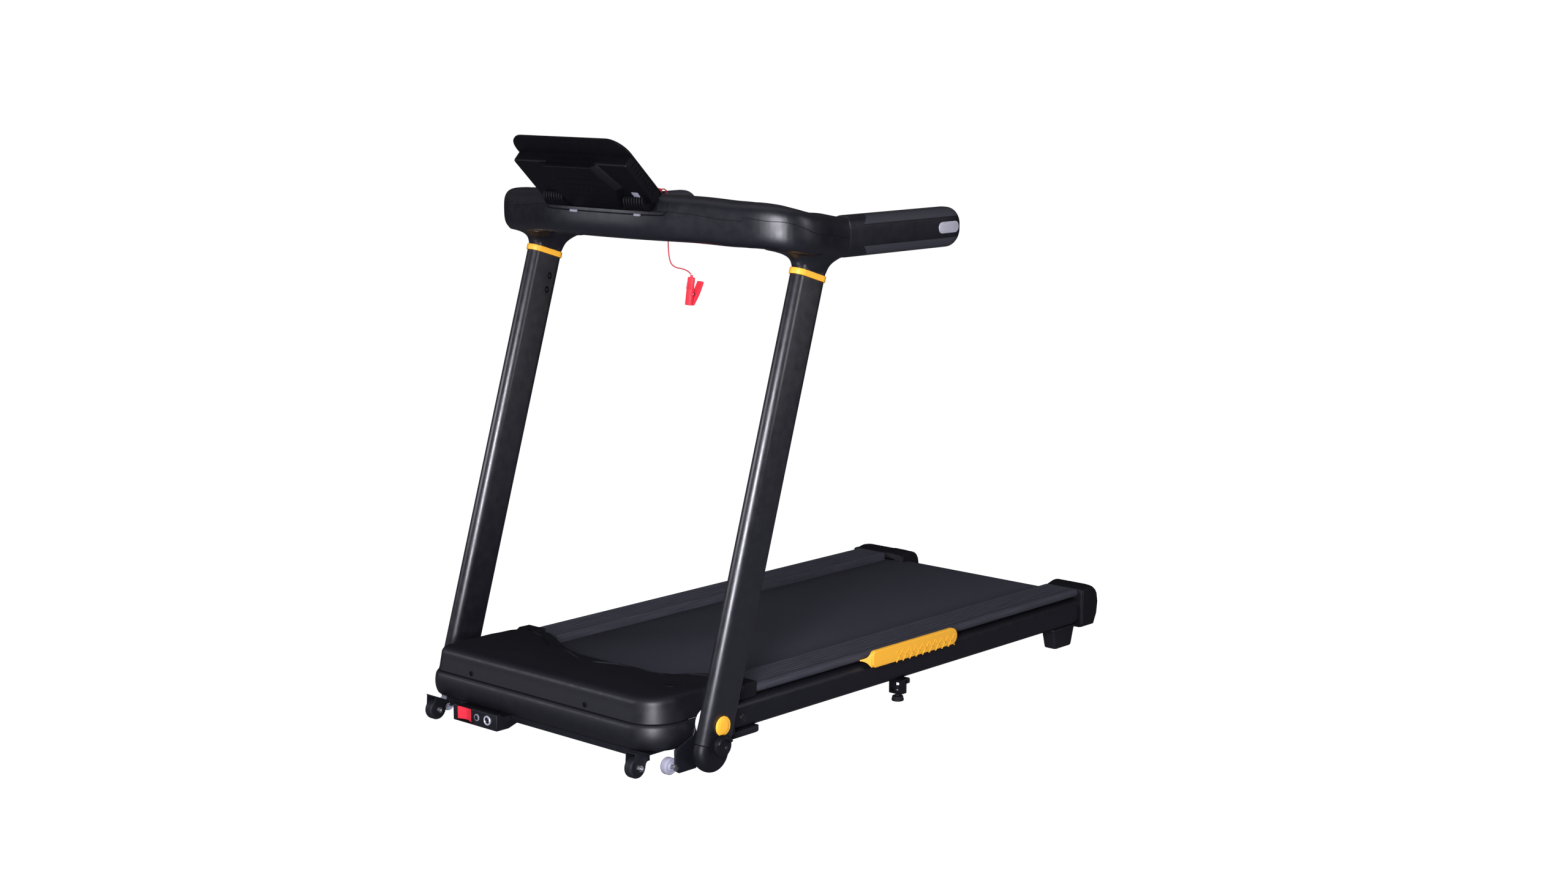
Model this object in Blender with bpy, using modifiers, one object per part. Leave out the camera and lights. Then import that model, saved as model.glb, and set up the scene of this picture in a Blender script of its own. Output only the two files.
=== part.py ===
"""Folding motorised treadmill: a flat running deck, two leaning uprights and a console handlebar.

Metres, +Z up.  The length runs along Y with the motor hood at -Y and the run-off end at +Y.
X runs across, and the origin is on the floor at the middle of the whole footprint.
"""
import math

import bmesh
import bpy
from mathutils import Matrix, Vector

# ---------------------------------------------------------------- driving dimensions
HALF_LENGTH = 0.680
GAP = 0.0003  # between pieces that touch

# the pivot of the folding uprights, and their lean away from vertical
PIVOT_Y = -0.5345
PIVOT_Z = 0.0845
LEAN = math.radians(17.2)
UPRIGHT_X = 0.3465
UPRIGHT_DEPTH = 0.078
UPRIGHT_WIDTH = 0.030
UPRIGHT_WALL = 0.002
COLLAR_AT = 0.811
COLLAR_HEIGHT = 0.011
COLLAR_PROUD = 0.0025
FOOT_AT = -0.040
FOOT_CAP_SKIRT = 0.0068

# side frame tubes
TUBE_X = 0.292
TUBE_WIDTH = 0.040
TUBE_BOTTOM = 0.044
TUBE_TOP = 0.0975
TUBE_FRONT = -0.500
TUBE_REAR = 0.6135
TUBE_WALL = 0.002

# running surface
BELT_HALF_WIDTH = 0.221
BELT_TOP = 0.1035
BELT_THICKNESS = 0.0017
ROLLER_RADIUS = 0.021
ROLLER_GAP = 0.0003
FRONT_ROLLER_Y = -0.472
REAR_ROLLER_Y = 0.633
ROLLER_HALF = 0.2225
DECK_HALF_WIDTH = 0.262
DECK_THICKNESS = 0.018

# foot rails
RAIL_INNER = 0.2252
RAIL_OUTER = 0.3064
RAIL_TOP = 0.1185
RAIL_LIP = 0.0085
RAIL_FRONT = -0.388
RAIL_REAR = 0.6142

# motor hood
HOOD_FRONT = -0.640
HOOD_HALF_WIDTH = 0.298
HOOD_CORNERS = (0.025, 0.064)  # left, right
HOOD_SEAM = 0.0885
HOOD_BOTTOM = 0.0385
HOOD_SKIN = 0.0025
TRAY_TOP = 0.0365

# drive train
MOTOR_Y = -0.572
MOTOR_Z = 0.083
MOTOR_RADIUS = 0.036
MOTOR_PULLEY_RADIUS = 0.014
ROLLER_PULLEY_RADIUS = 0.034
PULLEY_X = (-0.250, -0.232)
DRIVE_BELT = 0.002

# wheels, rollers and feet
WHEEL_X = 0.2702
WHEEL_Y = -0.6605
WHEEL_RADIUS = 0.0195
WHEEL_WIDTH = 0.018
FLOOR_ROLLER = (0.300, -0.607, 0.0155)
FLOOR_ROLLER_RADIUS = 0.0155
LEVEL_FOOT = (0.300, 0.0245)
LEVEL_FOOT_RADIUS = 0.012

# handlebar: seen from above the beam bows forwards, then each arm runs back to its handle
ARM_END_Y = -0.2050
HANDLE_TOP = 0.9600
HANDLE_HEIGHT = 0.076
HANDLE_WIDTH = 0.046
HANDLE_END_Y = 0.1270
HANDLE_PIN_DROP = 0.010
SHELL = 0.003

# console: its face leans back from the hinge line
CONSOLE_TILT = math.radians(44.2)
CONSOLE_FOOT = Vector((0.0, -0.456, 0.998))
CONSOLE_HINGE = Vector((0.0, -0.4735, 0.9885))
CONSOLE_HALF_WIDTH = 0.1480
CONSOLE_HEIGHT = 0.148
CONSOLE_VISOR = 0.042
FACE_THICKNESS = 0.005
KNUCKLE_RADIUS = 0.0150
POCKET_RADIUS = 0.0185
POCKET_HALF = 0.155

# safety key and its lanyard
KEY_AT = (0.094, -0.424)
CORD_RADIUS = 0.0011
CORD_ROUTE = [
    (0.0940, -0.4085, 1.0050), (0.0940, -0.4010, 1.0056), (0.0940, -0.3945, 1.0020), (0.0940, -0.3920, 0.9940),
    (0.0940, -0.3916, 0.9780), (0.0940, -0.3914, 0.9550), (0.0940, -0.3912, 0.9300), (0.0941, -0.3910, 0.9050),
    (0.0948, -0.3902, 0.8850), (0.0976, -0.3872, 0.8700), (0.1036, -0.3810, 0.8630), (0.1110, -0.3735, 0.8605),
    (0.1180, -0.3665, 0.8565), (0.1235, -0.3605, 0.8490),
]
CLIP_TOP = Vector((0.1225, -0.3602, 0.8440))
CLIP_TURN = math.radians(82)

MATERIALS = {
    "frame_paint": ((0.016, 0.016, 0.020), 0.42, 0.0),
    "black_plastic": ((0.012, 0.012, 0.014), 0.48, 0.0),
    "rail_plastic": ((0.034, 0.034, 0.042), 0.5, 0.0),
    "belt_rubber": ((0.036, 0.036, 0.042), 0.8, 0.0),
    "yellow_plastic": ((0.87, 0.48, 0.05), 0.45, 0.0),
    "red_plastic": ((0.78, 0.03, 0.05), 0.45, 0.0),
    "grey_plastic": ((0.25, 0.25, 0.32), 0.5, 0.0),
    "foot_rubber": ((0.02, 0.02, 0.024), 0.75, 0.0),
    "bare_steel": ((0.55, 0.55, 0.56), 0.3, 1.0),
    "grip_foam": ((0.045, 0.048, 0.058), 0.7, 0.0),
    "deck_board": ((0.12, 0.08, 0.05), 0.6, 0.0),
}

for stale in list(bpy.data.objects):
    bpy.data.objects.remove(stale, do_unlink=True)


def new_collection(name):
    collection = bpy.data.collections.new(name)
    bpy.context.scene.collection.children.link(collection)
    return collection


PIECES = new_collection("folding_treadmill")
CUTTERS = new_collection("cutters")


def material(name):
    found = bpy.data.materials.get(name)
    if found:
        return found
    colour, roughness, metallic = MATERIALS[name]
    made = bpy.data.materials.new(name)
    made.use_nodes = True
    shader = made.node_tree.nodes["Principled BSDF"]
    shader.inputs["Base Color"].default_value = (*colour, 1.0)
    shader.inputs["Roughness"].default_value = roughness
    shader.inputs["Metallic"].default_value = metallic
    return made


# ---------------------------------------------------------------- shape helpers
def piece(name, mesh, finish=None, sharp=35.0):
    """Put a mesh in the model as a named piece, or among the cutters when it has no finish."""
    item = bpy.data.objects.new(name, mesh)
    if finish:
        PIECES.objects.link(item)
        mesh.materials.clear()
        mesh.materials.append(material(finish))
        mesh.shade_smooth()
        mesh.set_sharp_from_angle(angle=math.radians(sharp))
    else:
        CUTTERS.objects.link(item)
        item.hide_render = True
        item.display_type = "WIRE"
    return item


def mesh_from(bm, name):
    bmesh.ops.recalc_face_normals(bm, faces=bm.faces)
    mesh = bpy.data.meshes.new(name)
    bm.to_mesh(mesh)
    bm.free()
    return mesh


def box_mesh(name, low, high, bevel=0.0, segments=2):
    bm = bmesh.new()
    low, high = Vector(low), Vector(high)
    bmesh.ops.create_cube(bm, size=1.0)
    for vert in bm.verts:
        vert.co = Vector(low[i] + (vert.co[i] + 0.5) * (high[i] - low[i]) for i in range(3))
    if bevel:
        bmesh.ops.bevel(bm, geom=bm.edges[:], offset=bevel, segments=segments, affect="EDGES", profile=0.5)
    return mesh_from(bm, name)


def rod_mesh(name, start, end, radius, end_radius=None, sides=24):
    """A cylinder or cone between two points."""
    bm = bmesh.new()
    start, end = Vector(start), Vector(end)
    along = end - start
    bmesh.ops.create_cone(bm, cap_ends=True, segments=sides, radius1=radius,
                          radius2=radius if end_radius is None else end_radius, depth=along.length)
    turn = along.to_track_quat("Z", "Y").to_matrix().to_4x4()
    bmesh.ops.transform(bm, matrix=Matrix.Translation((start + end) / 2) @ turn, verts=bm.verts)
    return mesh_from(bm, name)


def loft_mesh(name, rings):
    """A closed skin over rings of equal count, capped at both ends."""
    bm = bmesh.new()
    rows = [[bm.verts.new(point) for point in ring] for ring in rings]
    count = len(rows[0])
    for lower, upper in zip(rows, rows[1:]):
        for i in range(count):
            j = (i + 1) % count
            bm.faces.new((lower[i], lower[j], upper[j], upper[i]))
    bm.faces.new(rows[0][::-1])
    bm.faces.new(rows[-1])
    return mesh_from(bm, name)


def flat_mesh(name, outlines, thickness, bevel=0.0):
    """A flat outline, with any holes, made thick by a filled 2D curve: it lies in XY, centred on Z = 0."""
    curve = bpy.data.curves.new(name, "CURVE")
    curve.dimensions = "2D"
    curve.fill_mode = "BOTH"
    curve.extrude = thickness / 2 - bevel
    curve.bevel_depth = bevel
    curve.bevel_resolution = 1
    curve.offset = -bevel
    for outline in outlines:
        spline = curve.splines.new("POLY")
        spline.points.add(len(outline) - 1)
        spline.use_cyclic_u = True
        for point, (x, y) in zip(spline.points, outline):
            point.co = (x, y, 0.0, 1.0)
    holder = bpy.data.objects.new(name + "_outline", curve)
    bpy.context.scene.collection.objects.link(holder)
    bpy.context.view_layer.update()
    evaluated = holder.evaluated_get(bpy.context.evaluated_depsgraph_get())
    raw = bpy.data.meshes.new_from_object(evaluated)
    bm = bmesh.new()
    bm.from_mesh(raw)
    bmesh.ops.remove_doubles(bm, verts=bm.verts, dist=0.00002)
    bpy.data.objects.remove(holder, do_unlink=True)
    bpy.data.curves.remove(curve)
    return mesh_from(bm, name)


def placed(mesh, matrix):
    mesh.transform(matrix)
    if matrix.determinant() < 0:
        mesh.flip_normals()
    return mesh


def along_x(centre):
    """From a flat outline drawn as (Y, Z) to the world, its thickness running along X."""
    return Matrix.Translation(centre) @ Matrix(((0, 0, 1, 0), (1, 0, 0, 0), (0, 1, 0, 0), (0, 0, 0, 1)))


def along_y(centre):
    """From a flat outline drawn as (X, Z) to the world, its thickness running along Y."""
    return Matrix.Translation(centre) @ Matrix(((1, 0, 0, 0), (0, 0, -1, 0), (0, 1, 0, 0), (0, 0, 0, 1)))


def mirrored(mesh, name):
    copy = mesh.copy()
    copy.name = name
    return placed(copy, Matrix.Scale(-1.0, 4, (1, 0, 0)))


def boolean(target, tool, operation):
    step = target.modifiers.new(operation.lower(), "BOOLEAN")
    step.operation = operation
    step.solver = "EXACT"
    step.object = tool


def cut(target, mesh):
    boolean(target, piece(mesh.name, mesh), "DIFFERENCE")


def join(target, mesh):
    boolean(target, piece(mesh.name, mesh), "UNION")


def hang_on(item, origin):
    """Move a piece's origin to its joint axis, leaving it where it is."""
    origin = Vector(origin)
    item.data.transform(Matrix.Translation(-origin))
    item.location = origin
    return item


def pair(name, mesh, finish, origin=None):
    """A right-hand piece and its left-hand twin."""
    made = []
    for side, shape in (("right", mesh), ("left", mirrored(mesh, name + "_left"))):
        item = piece(f"{name}_{side}", shape, finish)
        if origin:
            hang_on(item, (origin[0] if side == "right" else -origin[0], origin[1], origin[2]))
        made.append(item)
    return made


def both_sides(items, operation, mesh):
    """Cut or join the same tool on a right-hand piece and, mirrored, on its twin."""
    twin = mirrored(mesh, mesh.name + "_left")
    for item, tool in zip(items, (mesh, twin)):
        operation(item, tool)


def arc(centre, radius, start, stop, steps):
    angles = [math.radians(start + (stop - start) * i / steps) for i in range(steps + 1)]
    return [(centre[0] + radius * math.cos(a), centre[1] + radius * math.sin(a)) for a in angles]


def rounded_rectangle(low, high, radius, steps=4):
    (x0, y0), (x1, y1) = low, high
    return (arc((x1 - radius, y1 - radius), radius, 0, 90, steps)
            + arc((x0 + radius, y1 - radius), radius, 90, 180, steps)
            + arc((x0 + radius, y0 + radius), radius, 180, 270, steps)
            + arc((x1 - radius, y0 + radius), radius, 270, 360, steps))


def stadium(length, width, steps=8):
    """A flat oval, its long side along the first axis."""
    half, radius = (length - width) / 2, width / 2
    return arc((half, 0), radius, -90, 90, steps) + arc((-half, 0), radius, 90, 270, steps)


def superellipse(half_width, half_height, power, steps):
    """Points round a soft rectangle, anticlockwise from its right-hand side."""
    points = []
    for i in range(steps):
        angle = 2 * math.pi * i / steps
        c, s = math.cos(angle), math.sin(angle)
        points.append((math.copysign(abs(c) ** (2 / power), c) * half_width,
                       math.copysign(abs(s) ** (2 / power), s) * half_height))
    return points


def blend(stops, at):
    """Read a smooth curve through (position, value) stops."""
    if at <= stops[0][0]:
        return stops[0][1]
    for (a, low), (b, high) in zip(stops, stops[1:]):
        if at <= b:
            t = (at - a) / (b - a)
            t = t * t * (3 - 2 * t)
            return low + (high - low) * t
    return stops[-1][1]


def smooth_route(points, spacing):
    """Evenly spaced points on a Catmull-Rom curve through the given ones."""
    knots = [Vector(p) for p in points]
    knots = [2 * knots[0] - knots[1]] + knots + [2 * knots[-1] - knots[-2]]
    fine = []
    for a, b, c, d in zip(knots, knots[1:], knots[2:], knots[3:]):
        for i in range(24):
            t = i / 24
            fine.append(0.5 * ((2 * b) + (c - a) * t + (2 * a - 5 * b + 4 * c - d) * t ** 2
                               + (3 * b - a - 3 * c + d) * t ** 3))
    fine.append(knots[-2])
    even, walked = [fine[0]], 0.0
    for before, after in zip(fine, fine[1:]):
        walked += (after - before).length
        if walked >= spacing:
            even.append(after)
            walked = 0.0
    if (even[-1] - fine[-1]).length > spacing / 2:
        even.append(fine[-1])
    return even


# ---------------------------------------------------------------- deck and base frame
def upright_point(along, across=0.0):
    """A point in an upright's side view, from the pivot: along its length, and across it rearwards."""
    return (PIVOT_Y + along * math.sin(LEAN) + across * math.cos(LEAN),
            PIVOT_Z + along * math.cos(LEAN) - across * math.sin(LEAN))


def side_tubes():
    middle_z = (TUBE_BOTTOM + TUBE_TOP) / 2
    half_w, half_h = TUBE_WIDTH / 2, (TUBE_TOP - TUBE_BOTTOM) / 2
    outer = rounded_rectangle((-half_w, -half_h), (half_w, half_h), 0.015, 5)
    inner = rounded_rectangle((-half_w + TUBE_WALL, -half_h + TUBE_WALL),
                              (half_w - TUBE_WALL, half_h - TUBE_WALL), 0.013, 5)
    mesh = flat_mesh("side_tube", [outer, inner], TUBE_REAR - TUBE_FRONT)
    pair("side_tube", placed(mesh, along_y((TUBE_X, (TUBE_FRONT + TUBE_REAR) / 2, middle_z))), "frame_paint")


def rear_cross_member():
    inner_face = TUBE_X - TUBE_WIDTH / 2 - GAP
    mesh = box_mesh("rear_cross_member", (-inner_face, 0.30, 0.0625), (inner_face, 0.34, 0.0829), 0.003, 1)
    piece("rear_cross_member", mesh, "frame_paint")


def motor_tray():
    """A folded plate that carries the motor and joins the two sides under the hood."""
    sheet, depth, front, rear = 0.003, 0.012, -0.6300, -0.4300
    outline = [(front, TRAY_TOP - depth), (front + sheet, TRAY_TOP - depth), (front + sheet, TRAY_TOP - sheet),
               (rear - sheet, TRAY_TOP - sheet), (rear - sheet, TRAY_TOP - depth), (rear, TRAY_TOP - depth),
               (rear, TRAY_TOP), (front, TRAY_TOP)]
    mesh = flat_mesh("motor_tray", [outline], 2 * 0.2735)
    piece("motor_tray", placed(mesh, along_x((0, 0, 0))), "frame_paint")


def pivot_brackets():
    """Side plates that hold the uprights' pivots, with an arm down to the floor roller."""
    x_low, x_high = 0.3125, 0.3175
    roller = FLOOR_ROLLER[1:]
    outline = [(-0.6065, 0.0470), (-0.6065, 0.0095), (-0.5980, 0.0032), (-0.5560, 0.0030), (-0.5200, 0.0300),
               (-0.4550, 0.0440), (-0.4550, 0.0970)]
    outline += arc((PIVOT_Y, PIVOT_Z), 0.0200, 40, 180, 8) + [(-0.5620, 0.0640)]
    mesh = placed(flat_mesh("pivot_bracket", [outline], x_high - x_low), along_x(((x_low + x_high) / 2, 0, 0)))
    brackets = pair("pivot_bracket", mesh, "frame_paint")
    washer = rod_mesh("pivot_washer", (x_high - 0.001, PIVOT_Y, PIVOT_Z), (0.3310, PIVOT_Y, PIVOT_Z), 0.024)
    both_sides(brackets, join, washer)
    axle = rod_mesh("roller_axle", (0.2885, *roller), (x_high - 0.001, *roller), 0.0035, sides=12)
    both_sides(brackets, join, axle)
    boss = rod_mesh("roller_boss", (x_low, *roller), (x_high + 0.0015, *roller), 0.0065, sides=16)
    both_sides(brackets, join, boss)
    bolt = rod_mesh("pivot_bolt", (0.3300, PIVOT_Y, PIVOT_Z), (0.3600, PIVOT_Y, PIVOT_Z), 0.0080, sides=16)
    both_sides(brackets, join, bolt)


def foot_rails():
    """Extruded treads with six grooves and a rolled outer lip."""
    groove, depth, pitch = 0.0030, 0.0012, 0.0105
    lip_z = RAIL_TOP - RAIL_LIP
    over_deck = BELT_TOP - BELT_THICKNESS
    step_x = DECK_HALF_WIDTH + 0.002
    outline = [(RAIL_INNER, over_deck), (RAIL_INNER, RAIL_TOP - 0.001), (RAIL_INNER + 0.001, RAIL_TOP)]
    for i in range(6):
        x = RAIL_INNER + 0.0085 + i * pitch
        outline += [(x, RAIL_TOP), (x + 0.0007, RAIL_TOP - depth),
                    (x + groove - 0.0007, RAIL_TOP - depth), (x + groove, RAIL_TOP)]
    outline += arc((RAIL_OUTER - RAIL_LIP, lip_z), RAIL_LIP, 90, -90, 8)
    outline += [(0.2880, lip_z - RAIL_LIP), (0.2880, TUBE_TOP + GAP), (step_x, TUBE_TOP + GAP),
                (step_x, over_deck)]
    mesh = flat_mesh("foot_rail", [outline[::-1]], RAIL_REAR - RAIL_FRONT)
    pair("foot_rail", placed(mesh, along_y((0, (RAIL_FRONT + RAIL_REAR) / 2, 0))), "rail_plastic")


def rear_end_caps():
    """Plugs that close the rails and the tubes; the left one reaches over the end of the rear roller."""
    low_z, high_z, front = 0.0375, 0.1235, RAIL_REAR + GAP

    def ring(y, inset_x, drop_top, lift_bottom):
        low, high = (RAIL_INNER, low_z + lift_bottom), (0.3165 - inset_x, high_z - drop_top)
        outline = rounded_rectangle(low, high, 0.010, 3)
        return [(x, y, z) for x, z in outline]
    rings = [ring(front, 0, 0, 0), ring(0.656, 0, 0.0005, 0.001), ring(0.669, 0.003, 0.003, 0.005),
             ring(0.677, 0.008, 0.010, 0.014), ring(HALF_LENGTH, 0.014, 0.020, 0.026)]
    caps = pair("rear_end_cap", loft_mesh("rear_end_cap", rings), "black_plastic")
    root, guard_front = RAIL_INNER + 0.004, REAR_ROLLER_Y + 0.0025
    plan = [(root, guard_front), (0.1865, guard_front), (0.1800, 0.6550), (0.1775, 0.6680), (0.1840, 0.6750),
            (root, 0.6760)]
    wall = [(root, 0.6590), (0.1788, 0.6590)] + plan[3:]
    for name, outline, low, high in (("guard_roof", plan, BELT_TOP + 0.0015, 0.1180),
                                     ("guard_wall", wall, 0.0600, BELT_TOP + 0.0020)):
        guard = flat_mesh(name, [[(-x, y) for x, y in outline]], high - low)
        join(caps[1], placed(guard, Matrix.Translation((0, 0, (low + high) / 2))))


def rear_feet():
    def ring(z, front, rear, low_x, high_x):
        return [(x, y, z) for x, y in rounded_rectangle((low_x, front), (high_x, rear), 0.005, 2)]
    rings = [ring(0.0, 0.546, 0.598, 0.2745, 0.3000), ring(0.003, 0.5425, 0.602, 0.2715, 0.3030),
             ring(TUBE_BOTTOM - GAP, 0.533, 0.612, 0.270, 0.3050)]
    pair("rear_foot", loft_mesh("rear_foot", rings), "foot_rubber")


def deck_and_belt():
    top = BELT_TOP - BELT_THICKNESS - 0.0005
    mesh = box_mesh("running_deck", (-DECK_HALF_WIDTH, FRONT_ROLLER_Y + 0.040, top - DECK_THICKNESS),
                    (DECK_HALF_WIDTH, REAR_ROLLER_Y - 0.032, top - 0.0002), 0.002, 1)
    piece("running_deck", mesh, "deck_board")
    centre_z = BELT_TOP - BELT_THICKNESS - ROLLER_GAP - ROLLER_RADIUS
    loops = []
    for radius in (ROLLER_RADIUS + ROLLER_GAP + BELT_THICKNESS, ROLLER_RADIUS + ROLLER_GAP):
        loops.append(arc((REAR_ROLLER_Y, centre_z), radius, -90, 90, 14)
                     + arc((FRONT_ROLLER_Y, centre_z), radius, 90, 270, 14))
    belt = flat_mesh("running_belt", loops, 2 * BELT_HALF_WIDTH)
    piece("running_belt", placed(belt, along_x((0, 0, 0))), "belt_rubber")
    return centre_z


def rollers(centre_z):
    shaft_end = TUBE_X - TUBE_WIDTH / 2 - GAP
    for name, y in (("front_roller", FRONT_ROLLER_Y), ("rear_roller", REAR_ROLLER_Y)):
        at = Vector((0, y, centre_z))
        across = Vector((1, 0, 0))
        roller = piece(name, rod_mesh(name, at - across * ROLLER_HALF, at + across * ROLLER_HALF,
                                      ROLLER_RADIUS - 0.0004, sides=28), "bare_steel")
        reach = shaft_end if name == "front_roller" else RAIL_INNER - 0.001
        join(roller, rod_mesh(name + "_shaft", at - across * reach, at + across * reach, 0.0075, sides=16))
        if name == "front_roller":
            join(roller, rod_mesh("roller_pulley", (PULLEY_X[0], y, centre_z), (PULLEY_X[1], y, centre_z),
                                  ROLLER_PULLEY_RADIUS - GAP, sides=32))
            join(roller, rod_mesh("pulley_hub", (PULLEY_X[1] - 0.001, y, centre_z),
                                  (-ROLLER_HALF + 0.001, y, centre_z), 0.012, sides=16))
        hang_on(roller, at)


def drive_train(centre_z):
    motor = piece("drive_motor", rod_mesh("drive_motor", (-0.150, MOTOR_Y, MOTOR_Z), (0.010, MOTOR_Y, MOTOR_Z),
                                          MOTOR_RADIUS, sides=32), "frame_paint")
    join(motor, rod_mesh("motor_end_bell", (0.009, MOTOR_Y, MOTOR_Z), (0.035, MOTOR_Y, MOTOR_Z), 0.029))
    join(motor, box_mesh("motor_cradle", (-0.120, MOTOR_Y - 0.026, TRAY_TOP + GAP),
                         (-0.020, MOTOR_Y + 0.026, 0.062)))
    pulley = piece("motor_pulley", rod_mesh("motor_pulley", (-0.254, MOTOR_Y, MOTOR_Z),
                                            (-0.150 - GAP, MOTOR_Y, MOTOR_Z), 0.006, sides=16), "bare_steel")
    join(pulley, rod_mesh("motor_flywheel", (-0.205, MOTOR_Y, MOTOR_Z), (-0.183, MOTOR_Y, MOTOR_Z), 0.033,
                          sides=32))
    join(pulley, rod_mesh("motor_groove", (PULLEY_X[0], MOTOR_Y, MOTOR_Z), (PULLEY_X[1], MOTOR_Y, MOTOR_Z),
                          MOTOR_PULLEY_RADIUS - GAP, sides=24))
    hang_on(pulley, (-0.2, MOTOR_Y, MOTOR_Z))
    small, large = Vector((MOTOR_Y, MOTOR_Z)), Vector((FRONT_ROLLER_Y, centre_z))
    heading = math.degrees(math.atan2(large.y - small.y, large.x - small.x))
    loops = []
    for extra in (DRIVE_BELT, 0.0):
        inner, outer = MOTOR_PULLEY_RADIUS + extra, ROLLER_PULLEY_RADIUS + extra
        splay = math.degrees(math.asin((outer - inner) / (large - small).length))
        loops.append(arc(large, outer, heading - 90 - splay, heading + 90 + splay, 16)
                     + arc(small, inner, heading + 90 + splay, heading + 270 - splay, 10))
    band = flat_mesh("drive_belt", loops, PULLEY_X[1] - PULLEY_X[0] - 0.002)
    piece("drive_belt", placed(band, along_x((sum(PULLEY_X) / 2, 0, 0))), "belt_rubber")


# ---------------------------------------------------------------- hood
def hood_front(side_points):
    """Plan of the hood from its right side round the front to its left side, with the side points given."""
    halves = []
    for corner in HOOD_CORNERS:
        bend = arc((HOOD_HALF_WIDTH - corner, HOOD_FRONT + corner), corner, 0, -90, 8)
        halves.append(side_points + bend + [(x, HOOD_FRONT) for x in (0.18, 0.12, 0.06)])
    left, right = halves
    return right + [(0.0, HOOD_FRONT)] + [(-x, y) for x, y in reversed(left)]


def roof_height(x, y):
    """Height of the hood's top: crowned near the front, falling to the belt, higher over the rails."""
    middle = blend([(-0.63, 0.1345), (-0.565, 0.1385), (-0.505, 0.1355), (-0.455, 0.1180)], y)
    side = blend([(-0.63, 0.1345), (-0.56, 0.1375), (-0.47, 0.1340), (-0.395, 0.1260)], y)
    share = blend([(0.120, 0.0), (0.225, 1.0)], abs(x))
    return middle + (side - middle) * share


def hood_top_cover():
    """A thin skin: walls on the front and sides, a crowned roof, and a low lip over the belt."""
    rear_side, rear_middle = -0.3985, -0.4590
    walls = [(HOOD_HALF_WIDTH, y) for y in (-0.430, -0.470, -0.5035, -0.5070)]
    rear = [(0.05, rear_middle + 0.0025), (0.10, rear_middle + 0.0115), (0.14, rear_middle + 0.0215),
            (0.17, rear_middle + 0.0320), (0.20, rear_middle + 0.0445), (0.222, rear_side - 0.0065),
            (0.236, rear_side - 0.0010), (0.262, rear_side)]
    shoulder = arc((HOOD_HALF_WIDTH - 0.020, rear_side - 0.020), 0.020, 90, 0, 3)
    outline = hood_front(rear + shoulder + walls) + [(0.0, rear_middle)]

    def rim(x, y):
        if abs(x) > 0.25 and y < -0.5050 or y < -0.55:
            return HOOD_SEAM
        return 0.1200 if y > -0.420 else 0.1075 if abs(x) < 0.2245 or y > -0.47 else 0.1010
    centre = Vector((0.0, -0.530))
    bm = bmesh.new()
    rows = []
    levels = [("rim", 1.0), ("wall", 1.0), ("wall", 0.9965), ("roof", 0.985), ("roof", 0.965), ("roof", 0.90),
              ("roof", 0.75), ("roof", 0.50), ("roof", 0.25)]
    for index, (kind, scale) in enumerate(levels):
        row = []
        for x, y in outline:
            flat = centre + (Vector((x, y)) - centre) * scale
            top = roof_height(flat.x, flat.y)
            low = rim(x, y)
            if kind == "rim":
                z = low
            elif kind == "wall":
                z = low + (max(top - 0.010, low + 0.002) - low) * (1.0 if index == 2 else 0.6)
            else:
                z = top - (0.0035 if index == 3 else 0.0008 if index == 4 else 0.0)
            row.append(bm.verts.new((flat.x, flat.y, z)))
        rows.append(row)
    count = len(outline)
    for lower, upper in zip(rows, rows[1:]):
        for i in range(count):
            bm.faces.new((lower[i], lower[(i + 1) % count], upper[(i + 1) % count], upper[i]))
    peak = bm.verts.new((0.0, centre.y, roof_height(0.0, centre.y)))
    for i in range(count):
        bm.faces.new((rows[-1][i], rows[-1][(i + 1) % count], peak))
    cover = piece("hood_top_cover", mesh_from(bm, "hood_top_cover"), "black_plastic", 50)
    skin = cover.modifiers.new("skin", "SOLIDIFY")
    skin.thickness = HOOD_SKIN
    skin.offset = -1.0


def hood_lower_cover():
    """A bulging band under the seam, open at the back where the frame comes in."""
    profile = [(0.000, HOOD_SEAM - 0.0006), (0.0045, 0.0815), (0.0065, 0.0680), (0.0055, 0.0560),
               (0.0015, 0.0455), (-0.0060, 0.0402), (-0.0130, HOOD_BOTTOM)]
    path = hood_front([(HOOD_HALF_WIDTH, -0.5100), (HOOD_HALF_WIDTH, -0.5400)])
    bm = bmesh.new()
    rows = []
    for out, z in profile:
        row = []
        for i, (x, y) in enumerate(path):
            before, after = Vector(path[max(i - 1, 0)]), Vector(path[min(i + 1, len(path) - 1)])
            heading = (after - before).normalized()
            row.append(bm.verts.new((x + heading.y * -out, y + heading.x * out, z)))
        rows.append(row)
    for lower, upper in zip(rows, rows[1:]):
        for i in range(len(path) - 1):
            bm.faces.new((lower[i], lower[i + 1], upper[i + 1], upper[i]))
    cover = piece("hood_lower_cover", mesh_from(bm, "hood_lower_cover"), "black_plastic", 50)
    skin = cover.modifiers.new("skin", "SOLIDIFY")
    skin.thickness = HOOD_SKIN
    skin.offset = 0.0


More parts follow.
